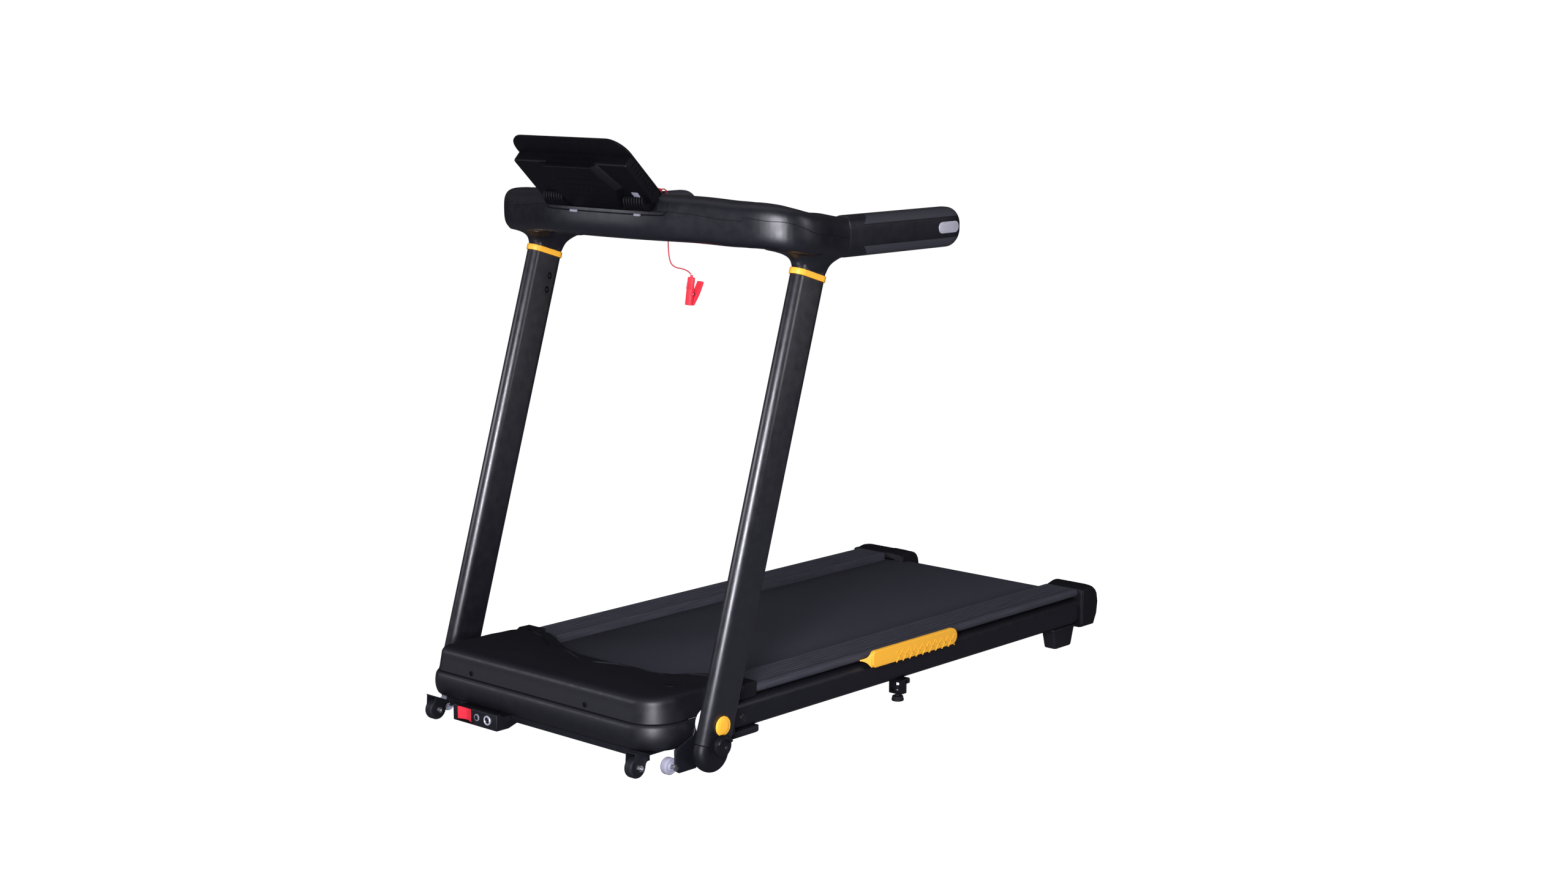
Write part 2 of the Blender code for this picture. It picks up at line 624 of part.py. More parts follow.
# ---------------------------------------------------------------- wheels, feet and power box
def front_wheels():
    """Small wheels in folded forks, each on a bolt that is part of its fork."""
    clearance, sheet = 0.0015, 0.0022
    inner = WHEEL_WIDTH / 2 + clearance
    outer = inner + sheet
    leg = (arc((WHEEL_Y, 0.0180), 0.0118, 180, 345, 6)
           + [(-0.6445, 0.0262), (-0.6400, 0.0290), (-0.6400, 0.0344), (-0.6704, 0.0482)])
    solid = flat_mesh("wheel_fork", [leg], 2 * outer)
    forks = pair("wheel_fork", placed(solid, along_x((WHEEL_X, 0, 0))), "frame_paint")
    hollow = [(-0.7000, -0.0100), (-0.6300, -0.0100), (-0.6300, 0.0274), (-0.7000, 0.0595)]
    slot = flat_mesh("fork_slot", [hollow], 2 * inner)
    both_sides(forks, cut, placed(slot, along_x((WHEEL_X, 0, 0))))
    for step, (low, high, radius) in enumerate(((-outer - 0.007, outer + 0.009, 0.0032),
                                                (outer - 0.0005, outer + 0.0045, 0.0065),
                                                (-outer - 0.004, -outer + 0.0005, 0.0060))):
        bolt = rod_mesh(f"wheel_bolt_{step}", (WHEEL_X + low, WHEEL_Y, WHEEL_RADIUS),
                        (WHEEL_X + high, WHEEL_Y, WHEEL_RADIUS), radius, sides=12 if step == 0 else 6)
        both_sides(forks, join, bolt)
    half = WHEEL_WIDTH / 2
    profile = [(0.0042, half), (0.0170, half), (0.0198, half - 0.0012), (WHEEL_RADIUS, half - 0.0040)]
    profile += [(r, -h) for r, h in reversed(profile)]
    turned_pair("front_wheel", profile, (WHEEL_X, WHEEL_Y, WHEEL_RADIUS), "black_plastic")


def turned_pair(name, profile, centre, finish, steps=28):
    """Rings turned round an X axle: the profile runs over the outside, and the bore closes it."""
    for side, sign in (("right", 1), ("left", -1)):
        bm = bmesh.new()
        corners = [bm.verts.new((radius, 0.0, height)) for radius, height in profile]
        for a, b in zip(corners, corners[1:] + corners[:1]):
            bm.edges.new((a, b))
        bmesh.ops.spin(bm, geom=bm.verts[:] + bm.edges[:], axis=(0, 0, 1), cent=(0, 0, 0),
                       angle=2 * math.pi, steps=steps, use_merge=True)
        turn = Matrix.Rotation(math.radians(90), 4, "Y")
        bmesh.ops.transform(bm, matrix=turn, verts=bm.verts)
        item = piece(f"{name}_{side}", mesh_from(bm, name), finish)
        item.location = (sign * centre[0], centre[1], centre[2])


def floor_rollers():
    half = 0.009
    profile = [(0.0042, half), (0.0095, half), (0.0105, half - 0.0015), (0.0130, half - 0.0015),
               (FLOOR_ROLLER_RADIUS, half - 0.0035)]
    profile += [(r, -h) for r, h in reversed(profile)]
    turned_pair("floor_roller", profile, FLOOR_ROLLER, "grey_plastic")


def level_feet():
    """Rubber screw feet, each held in a folded bracket under its side tube."""
    x, y = LEVEL_FOOT
    leg_half, leg_gap, sheet = 0.010, 0.0115, 0.0025
    bracket = box_mesh("level_foot_bracket", (x - leg_gap - sheet, y - leg_half, 0.0150),
                       (x + leg_gap + sheet, y + leg_half, TUBE_BOTTOM - GAP))
    brackets = pair("level_foot_bracket", bracket, "frame_paint")
    window = box_mesh("bracket_window", (x - leg_gap, y - 0.05, 0.0150 + 0.0045),
                      (x + leg_gap, y + 0.05, TUBE_BOTTOM - 0.003))
    both_sides(brackets, cut, window)
    flange = box_mesh("bracket_flange", (x - leg_gap - sheet, y + leg_half - 0.003, 0.0330),
                      (x + leg_gap + sheet, y + leg_half + 0.010, TUBE_BOTTOM - GAP))
    both_sides(brackets, join, flange)
    hole = rod_mesh("foot_hole", (x, y, 0.0), (x, y, 0.030), 0.0046, sides=16)
    both_sides(brackets, cut, hole)
    pad = rod_mesh("level_foot", (x, y, 0.0), (x, y, 0.0090), LEVEL_FOOT_RADIUS, 0.0108)
    feet = pair("level_foot", pad, "foot_rubber", (x, y, 0.0))
    both_sides(feet, join, rod_mesh("foot_stem", (x, y, 0.0080), (x, y, 0.0300), 0.0038, sides=12))


def block_feet():
    """Rubber blocks under the front ends of the side tubes."""
    def ring(z, front, rear, inset):
        outline = rounded_rectangle((0.2740 + inset, front), (0.3120 - inset, rear), 0.003, 2)
        return [(x, y, z) for x, y in outline]
    rings = [ring(0.0300, -0.4520, -0.3880, 0.0020), ring(0.0325, -0.4560, -0.3850, 0.0),
             ring(TUBE_BOTTOM - GAP, -0.4560, -0.3850, 0.0)]
    pair("block_foot", loft_mesh("block_foot", rings), "foot_rubber")


def power_box():
    """The switch box under the front edge, with a rocker, a reset button and the mains inlet."""
    low_x, high_x, front, bottom, under_tray, top = -0.2130, -0.0900, -0.6650, 0.0110, 0.0240, 0.0418
    outline = [(front, bottom), (front + 0.030, bottom), (-0.5920, under_tray), (-0.6304, under_tray),
               (-0.6304, 0.0360), (-0.6490, 0.0366), (-0.6535, top), (front, top)]
    mesh = placed(flat_mesh("power_box", [outline], high_x - low_x), along_x(((low_x + high_x) / 2, 0, 0)))
    case = piece("power_box", mesh, "black_plastic")
    rocker_x, rocker_z, half_w, half_h = -0.1785, 0.0285, 0.0180, 0.0120
    cut(case, box_mesh("rocker_pocket", (rocker_x - half_w - 0.0008, front - 0.01, rocker_z - half_h - 0.0010),
                       (rocker_x + half_w + 0.0008, front + 0.0120, rocker_z + half_h + 0.0010)))
    button_x, inlet_x, port_z = -0.1450, -0.1150, 0.0280
    cut(case, rod_mesh("button_pocket", (button_x, front - 0.01, port_z), (button_x, front + 0.010, port_z),
                       0.0047, sides=20))
    join(case, rod_mesh("inlet_ring", (inlet_x, front - 0.0025, port_z), (inlet_x, front + 0.002, port_z),
                        0.0092))
    cut(case, rod_mesh("inlet_bore", (inlet_x, front - 0.02, port_z), (inlet_x, front + 0.014, port_z), 0.0062,
                       sides=20))
    cap = box_mesh("power_rocker", (rocker_x - half_w, front - 0.0015, rocker_z - half_h),
                   (rocker_x + half_w, front + 0.0075, rocker_z + half_h), 0.0012, 1)
    rocker = piece("power_rocker", cap, "red_plastic")
    hang_on(rocker, (rocker_x, front + 0.003, rocker_z))
    cap = rod_mesh("breaker_button", (button_x, front - 0.0030, port_z), (button_x, front + 0.0070, port_z),
                   0.0042, sides=20)
    button = piece("breaker_button", cap, "black_plastic")
    hang_on(button, (button_x, front, port_z))


def side_pad():
    """A long yellow hand pad beside the right-hand rail, standing off it on a neck at the front."""
    low_z, high_z, start, end = 0.0905, 0.1235, -0.0840, 0.1750
    plate_x, thick = 0.3235, 0.0105
    radius = (high_z - low_z) / 2
    outline = (arc((end - radius, low_z + radius), radius, -90, 90, 8)
               + arc((start + 0.010, high_z - 0.010), 0.010, 90, 180, 3)
               + arc((start + 0.010, low_z + 0.010), 0.010, 180, 270, 3))
    mesh = placed(flat_mesh("side_pad", [outline], thick, 0.0015), along_x((plate_x, 0, 0)))
    pad = piece("side_pad", mesh, "yellow_plastic")
    neck = [[(x, y, z) for y, z in rounded_rectangle((front, low), (rear, high), 0.003, 2)]
            for x, front, rear, low, high in ((RAIL_OUTER + GAP, -0.0980, -0.0600, 0.1040, 0.1130),
                                              (0.3150, -0.0920, -0.0500, 0.1000, 0.1140),
                                              (0.3225, -0.0800, -0.0400, 0.0960, 0.1180))]
    join(pad, loft_mesh("pad_neck", neck))


# ---------------------------------------------------------------- folding uprights
# plans are drawn (across, side); this turns them so that "across" runs rearwards and "side" along X
TO_SIDE = Matrix(((0, 1, 0, 0), (1, 0, 0, 0), (0, 0, 1, 0), (0, 0, 0, 1)))
UPRIGHT_PLACE = Matrix.Translation((UPRIGHT_X, PIVOT_Y, PIVOT_Z)) @ Matrix.Rotation(-LEAN, 4, "X")


def uprights():
    """Flat-oval tubes, each with a bore for its pivot."""
    outer = stadium(UPRIGHT_DEPTH, UPRIGHT_WIDTH)
    inner = stadium(UPRIGHT_DEPTH - 2 * UPRIGHT_WALL, UPRIGHT_WIDTH - 2 * UPRIGHT_WALL)
    low, high = FOOT_AT + GAP, COLLAR_AT + 0.030
    mesh = flat_mesh("upright", [outer, inner], high - low)
    place = UPRIGHT_PLACE
    mesh = placed(mesh, place @ Matrix.Translation((0, 0, (low + high) / 2)) @ TO_SIDE)
    posts = pair("upright", mesh, "frame_paint", (UPRIGHT_X, PIVOT_Y, PIVOT_Z))
    bore = rod_mesh("pivot_bore", (0.30, PIVOT_Y, PIVOT_Z), (0.40, PIVOT_Y, PIVOT_Z), 0.0088, sides=24)
    both_sides(posts, cut, bore)

    radius = UPRIGHT_DEPTH / 2
    half = UPRIGHT_WIDTH / 2
    section = stadium(UPRIGHT_DEPTH, UPRIGHT_WIDTH)
    rings = [[place @ Vector((side, across, FOOT_AT)) for across, side in section]]
    for drop, squeeze in ((0.0, 0.0), (0.010, 0.0), (0.020, 0.0006), (0.028, 0.0018), (0.0335, 0.0038),
                          (0.0370, 0.0068), (0.0388, 0.0105)):
        depth = 2 * math.sqrt(max(radius ** 2 - drop ** 2, 0.0001 ** 2))
        section = stadium(max(depth, 2 * (half - squeeze) + 0.0005), 2 * (half - squeeze))
        along = FOOT_AT - FOOT_CAP_SKIRT - drop
        rings.append([place @ Vector((side, across, along)) for across, side in section])
    pair("foot_cap", loft_mesh("foot_cap", rings), "black_plastic", (UPRIGHT_X, PIVOT_Y, PIVOT_Z))

    grow = 2 * COLLAR_PROUD
    ring = flat_mesh("collar", [stadium(UPRIGHT_DEPTH + grow, UPRIGHT_WIDTH + grow),
                                stadium(UPRIGHT_DEPTH + 2 * GAP, UPRIGHT_WIDTH + 2 * GAP)], COLLAR_HEIGHT)
    pair("collar", placed(ring, place @ Matrix.Translation((0, 0, COLLAR_AT)) @ TO_SIDE), "yellow_plastic")

    face = UPRIGHT_X + half
    cap = rod_mesh("pivot_cap", (face + GAP, PIVOT_Y, PIVOT_Z), (face + 0.0045, PIVOT_Y, PIVOT_Z), 0.0180,
                   0.0172)
    pair("pivot_cap", cap, "yellow_plastic")


def lock_knobs():
    """Lobed clamping knobs on the uprights, just below the pivots."""
    y, z = upright_point(-0.0365, 0.0)
    face = UPRIGHT_X + UPRIGHT_WIDTH / 2
    lobes = []
    for i in range(36):
        angle = 2 * math.pi * i / 36
        reach = 0.0150 + 0.0022 * math.cos(3 * angle)
        lobes.append((y + reach * math.cos(angle), z + reach * math.sin(angle)))
    head = placed(flat_mesh("lock_knob", [lobes], 0.0130, 0.0020), along_x((face + 0.0115, 0, 0)))
    knobs = pair("lock_knob", head, "black_plastic", (face, y, z))
    hub = rod_mesh("knob_hub", (face + 0.0050, y, z), (face + GAP, y, z), 0.0095, sides=20)
    both_sides(knobs, join, hub)


# ---------------------------------------------------------------- handlebar
BEAM_PLAN = [(0.000, -0.4400), (0.080, -0.4370), (0.140, -0.4270), (0.2075, -0.4050), (0.270, -0.3880),
             (0.318, -0.3740), (0.3510, -0.3490), (0.3590, -0.3100), (0.3540, -0.2650), (0.3490, -0.2300),
             (0.3465, ARM_END_Y)]
BEAM_SOLID_HALF = 0.165


def handlebar_path():
    """Centre line seen from above, from the left arm's end round to the right arm's end."""
    half = [Vector((p.x, p.y)) for p in smooth_route([(x, y, 0) for x, y in BEAM_PLAN], 0.022)]
    return [Vector((-p.x, p.y)) for p in reversed(half[1:])] + half


def handlebar_rings(upper):
    """C-shaped sections of one shell: the part above the seam, or the part below it."""
    path = handlebar_path()
    rings = []
    for i, here in enumerate(path):
        before, after = path[max(i - 1, 0)], path[min(i + 1, len(path) - 1)]
        heading = (after - before).normalized()
        if i in (0, len(path) - 1):
            heading = Vector((0, -1)) if i == 0 else Vector((0, 1))
        outwards = Vector((heading.y, -heading.x))
        run = here.y if abs(here.x) > 0.30 else -0.44 + 0.0635 * (abs(here.x) / 0.30) ** 3
        middle = blend([(-0.44, 0.9575), (-0.39, 0.9510), (-0.30, 0.9330), (-0.20, 0.9210)], run)
        height = blend([(-0.44, 0.0830), (-0.36, 0.0800), (-0.26, HANDLE_HEIGHT)], run)
        depth = blend([(-0.44, 0.0720), (-0.36, 0.0640), (-0.24, HANDLE_WIDTH)], run)
        seam = blend([(-0.44, 0.9715), (-0.39, 0.9600), (-0.30, 0.9340), (-0.20, 0.9210)], run)
        solid = upper and abs(here.x) < BEAM_SOLID_HALF
        rings.append([(here.x + outwards.x * a, here.y + outwards.y * a, z)
                      for a, z in shell_section(middle, height / 2, depth / 2, seam, upper, solid)])
    return rings


def shell_section(middle, half_height, half_depth, seam, upper, solid):
    """One closed outline: the outer skin from the seam round to the seam, then the inner skin back."""
    power, steps = 3.2, 9
    edge = seam + GAP if upper else seam - GAP
    sign = 1.0 if upper else -1.0

    def skin(inset):
        half_h, half_d = half_height - inset, half_depth - inset
        rise = max(min((edge - middle) / half_h, 0.98), -0.98)
        start = math.asin(math.copysign(abs(rise) ** (power / 2), rise))
        span = math.pi / 2 - start if upper else math.pi / 2 + start
        points = []
        for k in range(steps + 1):
            angle = start + sign * span * k / steps
            c, s = math.cos(angle), math.sin(angle)
            points.append((abs(c) ** (2 / power) * half_d if k < steps else 0.0,
                           middle + math.copysign(abs(s) ** (2 / power), s) * half_h))
        return points + [(-a, z) for a, z in reversed(points[:-1])]
    outer = skin(0.0)
    if solid:
        width = outer[0][0] - SHELL
        floor = [(width - 2 * width * k / (2 * steps), edge) for k in range(2 * steps + 1)]
        return outer + floor[::-1]
    return outer + skin(SHELL)[::-1]


def neck_mesh(name):
    """A flared socket from the upright's collar up into the lower shell."""
    stops = [((-0.3311, 0.8768), (-0.2547, 0.8532), 0.0160), ((-0.3315, 0.8870), (-0.2480, 0.8665), 0.0170),
             ((-0.3345, 0.8930), (-0.2420, 0.8725), 0.0180), ((-0.3400, 0.8985), (-0.2330, 0.8775), 0.0193),
             ((-0.3490, 0.9035), (-0.2215, 0.8815), 0.0207), ((-0.3620, 0.9075), (-0.2100, 0.8850), 0.0218)]
    rings = []
    for front, rear, half_width in stops:
        middle, reach = (Vector(front) + Vector(rear)) / 2, (Vector(rear) - Vector(front)) / 2
        ring = []
        for across, side in superellipse(1.0, half_width, 2.6, 28):
            at = middle + reach * across
            ring.append((UPRIGHT_X + side, at.x, at.y))
        rings.append(ring)
    return loft_mesh(name, rings)


def handlebar():
    upper = piece("handlebar_upper_shell", loft_mesh("handlebar_upper_shell", handlebar_rings(True)),
                  "black_plastic", 40)
    pocket_half = Vector((POCKET_HALF, 0, 0))
    pocket = rod_mesh("hinge_pocket", CONSOLE_HINGE - pocket_half, CONSOLE_HINGE + pocket_half, POCKET_RADIUS,
                      sides=28)
    cut(upper, pocket)
    rest = box_mesh("console_rest", (-POCKET_HALF, -0.0045, -0.0120), (POCKET_HALF, 0.0300, 0.0060))
    cut(upper, placed(rest, console_place()))
    lower = piece("handlebar_lower_shell", loft_mesh("handlebar_lower_shell", handlebar_rings(False)),
                  "black_plastic", 40)
    neck = neck_mesh("neck")
    socket = flat_mesh("neck_socket", [stadium(UPRIGHT_DEPTH + 2 * GAP, UPRIGHT_WIDTH + 2 * GAP)], 0.040)
    socket = placed(socket, UPRIGHT_PLACE @ Matrix.Translation((0, 0, COLLAR_AT + 0.0105)) @ TO_SIDE)
    for tool in (neck, mirrored(neck, "neck_left")):
        join(lower, tool)
    for tool in (socket, mirrored(socket, "neck_socket_left")):
        cut(lower, tool)


def handles():
    """Padded arms that hinge up about a pin just under their top front corner."""
    half_h, half_w = HANDLE_HEIGHT / 2, HANDLE_WIDTH / 2
    middle_z = HANDLE_TOP - half_h
    front = ARM_END_Y + GAP
    centre_y = HANDLE_END_Y - half_h
    stations = [(front, HANDLE_PIN_DROP), (front + 0.0029, 0.0029), (front + 0.010, 0.0)]
    stations += [(y, 0.0) for y in (-0.120, -0.020, centre_y)]
    rings = []
    for y, drop in stations:
        ring = []
        for side, up in superellipse(half_w, half_h, 3.2, 28):
            z = middle_z + up
            ring.append((UPRIGHT_X + side, y, min(z, HANDLE_TOP - drop)))
        rings.append(ring)
    for step in range(1, 8):
        angle = math.radians(88) * step / 7
        tall, wide = math.cos(angle), math.cos(angle) ** 0.55
        ring = [(UPRIGHT_X + side * wide, centre_y + half_h * math.sin(angle), middle_z + up * tall)
                for side, up in superellipse(half_w, half_h, 3.2, 28)]
        rings.append(ring)
    pin = (UPRIGHT_X, front + HANDLE_PIN_DROP, HANDLE_TOP - HANDLE_PIN_DROP)
    pair("handle", loft_mesh("handle", rings), "grip_foam", pin)


# ---------------------------------------------------------------- console
def console_place():
    """From the console's own frame (X across, Y up its face, Z out towards the user) to the world."""
    c, s = math.cos(CONSOLE_TILT), math.sin(CONSOLE_TILT)
    turn = Matrix(((1, 0, 0, 0), (0, -c, s, 0), (0, s, c, 0), (0, 0, 0, 1)))
    flip = Matrix.Scale(-1.0, 4, (1, 0, 0))
    return Matrix.Translation(CONSOLE_FOOT) @ turn @ flip


def console():
    place = console_place()
    wide, tall = CONSOLE_HALF_WIDTH, CONSOLE_HEIGHT
    corner, toe = 0.038, 0.012
    face_outline = (arc((wide - corner, tall - corner), corner, 0, 90, 7)
                    + arc((-wide + corner, tall - corner), corner, 90, 180, 7)
                    + arc((-wide + toe, toe), toe, 180, 270, 3) + arc((wide - toe, toe), toe, 270, 360, 3))
    plate = flat_mesh("console_face", [face_outline], FACE_THICKNESS, 0.001)
    face = piece("console_face", placed(plate, place), "black_plastic")
    back_front, back_deep, panel_deep = -FACE_THICKNESS / 2 - GAP, -0.0240, -0.0340
    shell_top = tall - CONSOLE_VISOR
    shell = box_mesh("console_back", (-wide + 0.001, 0.004, back_deep), (wide - 0.001, shell_top, back_front),
                     0.0022, 1)
    back = piece("console_back", placed(shell, place), "black_plastic")
    rings = []
    for depth, half, low, high in ((back_deep + 0.004, 0.094, 0.016, 0.088), (back_deep, 0.094, 0.016, 0.088),
                                   (panel_deep, 0.080, 0.024, 0.076)):
        outline = rounded_rectangle((-half, low), (half, high), 0.006, 2)
        rings.append([place @ Vector((x, y, depth)) for x, y in outline])
    join(back, loft_mesh("console_panel", rings))
    for sign in (-1, 1):
        ends = [CONSOLE_HINGE + Vector((sign * x, 0, 0)) for x in (0.086, 0.136)]
        join(back, rod_mesh(f"console_knuckle_{sign}", *ends, KNUCKLE_RADIUS, sides=24))
    hang_on(back, CONSOLE_HINGE)

    buttons = (("start_button", 0.0, 0.011), ("speed_up_button", 0.055, 0.008),
               ("speed_down_button", -0.055, 0.008))
    for name, x, radius in buttons:
        well = rod_mesh(name + "_well", (x, 0.027, -0.02), (x, 0.027, 0.02), radius + 0.0006, sides=24)
        cut(face, placed(well, place))
        cap = placed(rod_mesh(name, (x, 0.027, -0.0012), (x, 0.027, 0.0042), radius, sides=24), place)
        hang_on(piece(name, cap, "grey_plastic"), place @ Vector((x, 0.027, 0.0)))
    hang_on(face, CONSOLE_HINGE)


# ---------------------------------------------------------------- safety key
def safety_key():
    x, y = KEY_AT
    top = 1.0003
    cap = rod_mesh("safety_key", (x, y, top), (x, y, top + 0.0075), 0.0135, 0.0120)
    key = piece("safety_key", cap, "red_plastic")
    hang_on(key, (x, y, top))

    route = smooth_route(CORD_ROUTE, 0.0055)
    curve = bpy.data.curves.new("safety_cord", "CURVE")
    curve.dimensions = "3D"
    curve.bevel_depth = CORD_RADIUS
    curve.bevel_resolution = 2
    curve.use_fill_caps = True
    spline = curve.splines.new("POLY")
    spline.points.add(len(route) - 1)
    for point, place in zip(spline.points, route):
        point.co = (*place, 1.0)
    curve.materials.append(material("red_plastic"))
    PIECES.objects.link(bpy.data.objects.new("safety_cord", curve))

    # the clip hangs with the broad side of one jaw towards the right-hand front corner
    base = Matrix.Translation(CLIP_TOP) @ Matrix.Rotation(CLIP_TURN, 4, "Z")
    fixed_outline = [(-0.0030, 0.0), (0.0025, -0.0010), (-0.0010, -0.0260), (-0.0042, -0.0500),
                     (-0.0100, -0.0495), (-0.0066, -0.0240)]
    jaw = flat_mesh("clip_jaw_fixed", [fixed_outline[::-1]], 0.0160)
    stand = Matrix(((1, 0, 0, 0), (0, 0, -1, 0), (0, 1, 0, 0), (0, 0, 0, 1)))
    piece("clip_jaw_fixed", placed(jaw, base @ stand), "red_plastic")
    moving_outline = [(0.0180, -0.0085), (0.0235, -0.0100), (0.0125, -0.0330), (0.0010, -0.0500),
                      (-0.0032, -0.0505), (0.0060, -0.0300)]
    lever = flat_mesh("clip_jaw_moving", [moving_outline[::-1]], 0.0140)
    moving = piece("clip_jaw_moving", placed(lever, base @ stand), "red_plastic")
    hang_on(moving, base @ Vector((0.0020, 0.0, -0.0300)))


side_tubes()
rear_cross_member()
motor_tray()
pivot_brackets()
foot_rails()
rear_end_caps()
rear_feet()
ROLLER_Z = deck_and_belt()
rollers(ROLLER_Z)
drive_train(ROLLER_Z)
hood_top_cover()
hood_lower_cover()
front_wheels()
floor_rollers()
level_feet()
block_feet()
power_box()
side_pad()
uprights()
lock_knobs()
handlebar()
handles()
console()
safety_key()
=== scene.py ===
import math

import bmesh
import bpy
from mathutils import Matrix, Vector
from mathutils.bvhtree import BVHTree

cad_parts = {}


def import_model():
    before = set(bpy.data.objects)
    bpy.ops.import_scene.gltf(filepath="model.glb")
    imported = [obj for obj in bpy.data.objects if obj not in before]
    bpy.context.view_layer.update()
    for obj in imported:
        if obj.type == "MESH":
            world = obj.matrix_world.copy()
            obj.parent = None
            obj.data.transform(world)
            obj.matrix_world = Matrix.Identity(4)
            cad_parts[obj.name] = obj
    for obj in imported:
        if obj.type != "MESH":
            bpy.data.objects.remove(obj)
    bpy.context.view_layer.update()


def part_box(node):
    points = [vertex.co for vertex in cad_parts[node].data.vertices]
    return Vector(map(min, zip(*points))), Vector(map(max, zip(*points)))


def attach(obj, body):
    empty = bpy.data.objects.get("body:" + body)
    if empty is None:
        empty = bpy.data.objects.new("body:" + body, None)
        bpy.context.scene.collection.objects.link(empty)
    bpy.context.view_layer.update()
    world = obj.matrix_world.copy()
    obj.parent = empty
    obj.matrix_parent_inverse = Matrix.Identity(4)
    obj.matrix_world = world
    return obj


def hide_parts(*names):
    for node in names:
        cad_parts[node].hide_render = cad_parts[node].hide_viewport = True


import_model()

# ---------------------------------------------------------------- camera
camera_data = bpy.data.cameras.new("photo_camera")
camera_data.lens = 54.71
camera_data.sensor_width = 36.0
camera = bpy.data.objects.new("photo_camera", camera_data)
camera.location = (3.1511, -3.4526, 1.2935)
camera.rotation_euler = (math.radians(90.0 - 9.84461), 0.0, math.radians(42.17474))
bpy.context.scene.collection.objects.link(camera)
bpy.context.scene.camera = camera


# ---------------------------------------------------------------- materials
def node(tree, kind, **values):
    """A new shader node with its settings."""
    made = tree.nodes.new(kind)
    for key, value in values.items():
        setattr(made, key, value)
    return made


def noise(tree, coordinates, scale, detail=4.0, roughness=0.55):
    """Fractal noise over a surface."""
    made = node(tree, "ShaderNodeTexNoise")
    made.inputs["Scale"].default_value = scale
    made.inputs["Detail"].default_value = detail
    made.inputs["Roughness"].default_value = roughness
    tree.links.new(coordinates, made.inputs["Vector"])
    return made.outputs["Fac"]


def remap(tree, source, low, high, to_low, to_high):
    """Carry a value from one range to another."""
    made = node(tree, "ShaderNodeMapRange")
    for socket, value in zip(("From Min", "From Max", "To Min", "To Max"), (low, high, to_low, to_high)):
        made.inputs[socket].default_value = value
    tree.links.new(source, made.inputs["Value"])
    return made.outputs["Result"]


def mix_colour(tree, share, first, second):
    """Mix two colours, each a tuple or a socket."""
    made = node(tree, "ShaderNodeMix", data_type="RGBA")
    for socket, value in ((6, first), (7, second)):
        if isinstance(value, tuple):
            made.inputs[socket].default_value = (*value, 1.0)
        else:
            tree.links.new(value, made.inputs[socket])
    tree.links.new(share, made.inputs[0])
    return made.outputs[2]


def maths(tree, operation, first, second=None):
    """One sum on numbers or sockets."""
    made = node(tree, "ShaderNodeMath", operation=operation)
    for socket, value in enumerate((first, second)):
        if value is None:
            continue
        if isinstance(value, (int, float)):
            made.inputs[socket].default_value = value
        else:
            tree.links.new(value, made.inputs[socket])
    return made.outputs[0]


def bump(tree, height, distance, strength=1.0, normal=None):
    """Fine relief in the look of a surface."""
    made = node(tree, "ShaderNodeBump")
    made.inputs["Strength"].default_value = strength
    made.inputs["Distance"].default_value = distance
    tree.links.new(height, made.inputs["Height"])
    if normal:
        tree.links.new(normal, made.inputs["Normal"])
    return made.outputs["Normal"]


def new_material(name):
    """A material with its tree, its shader and the object coordinates."""
    made = bpy.data.materials.new(name)
    made.use_nodes = True
    tree = made.node_tree
    shader = tree.nodes["Principled BSDF"]
    place = node(tree, "ShaderNodeTexCoord").outputs["Object"]
    return made, tree, shader, place


def scaled(colour, factor):
    """A colour made lighter or darker, never above white."""
    return tuple(min(channel * factor, 1.0) for channel in colour)


DUST_NORMALS = (0.45, 0.92)
DUST_ROUGHNESS = 0.34
DUST_SPECULAR = 0.24


def plastic(name, colour, rough=0.45, specular=0.3, spread=0.1, grain=1400.0, grain_depth=0.00006,
            metallic=0.0, coat=0.0, extra=None):
    """Moulded or painted surface: soft colour drift, uneven gloss and a fine grain."""
    made, tree, shader, place = new_material(name)
    drift = noise(tree, place, 9.0, 5.0)
    speck = noise(tree, place, 260.0, 3.0)
    share = maths(tree, "ADD", maths(tree, "MULTIPLY", drift, 0.75), maths(tree, "MULTIPLY", speck, 0.25))
    share = remap(tree, share, 0.3, 0.7, 0.0, 1.0)
    base = mix_colour(tree, share, scaled(colour, 1.0 - spread), scaled(colour, 1.0 + spread))
    gloss = remap(tree, noise(tree, place, 55.0, 4.0), 0.3, 0.7, rough - 0.05, rough + 0.05)
    normal = bump(tree, noise(tree, place, grain, 2.0), grain_depth)
    if extra:
        base, gloss, normal = extra(tree, place, base, gloss, normal)
    tree.links.new(base, shader.inputs["Base Color"])
    tree.links.new(normal, shader.inputs["Normal"])
    shader.inputs["Metallic"].default_value = metallic
    shader.inputs["Specular IOR Level"].default_value = specular
    if metallic < 0.1:
        # Upward faces gather fine dust, so they are duller than upright ones.
        upward = remap(tree, axis(tree, place.node.outputs["Normal"], "Z"), *DUST_NORMALS, 0.0, 1.0)
        gloss = maths(tree, "ADD", gloss, maths(tree, "MULTIPLY", upward, DUST_ROUGHNESS))
        shine = remap(tree, upward, 0.0, 1.0, specular, specular * DUST_SPECULAR)
        tree.links.new(shine, shader.inputs["Specular IOR Level"])
    tree.links.new(gloss, shader.inputs["Roughness"])
    shader.inputs["Coat Weight"].default_value = coat
    return made


def axis(tree, place, name):
    """One coordinate of a place."""
    split = node(tree, "ShaderNodeSeparateXYZ")
    tree.links.new(place, split.inputs[0])
    return split.outputs[name]


WEAVE_WIDTH = 0.0034


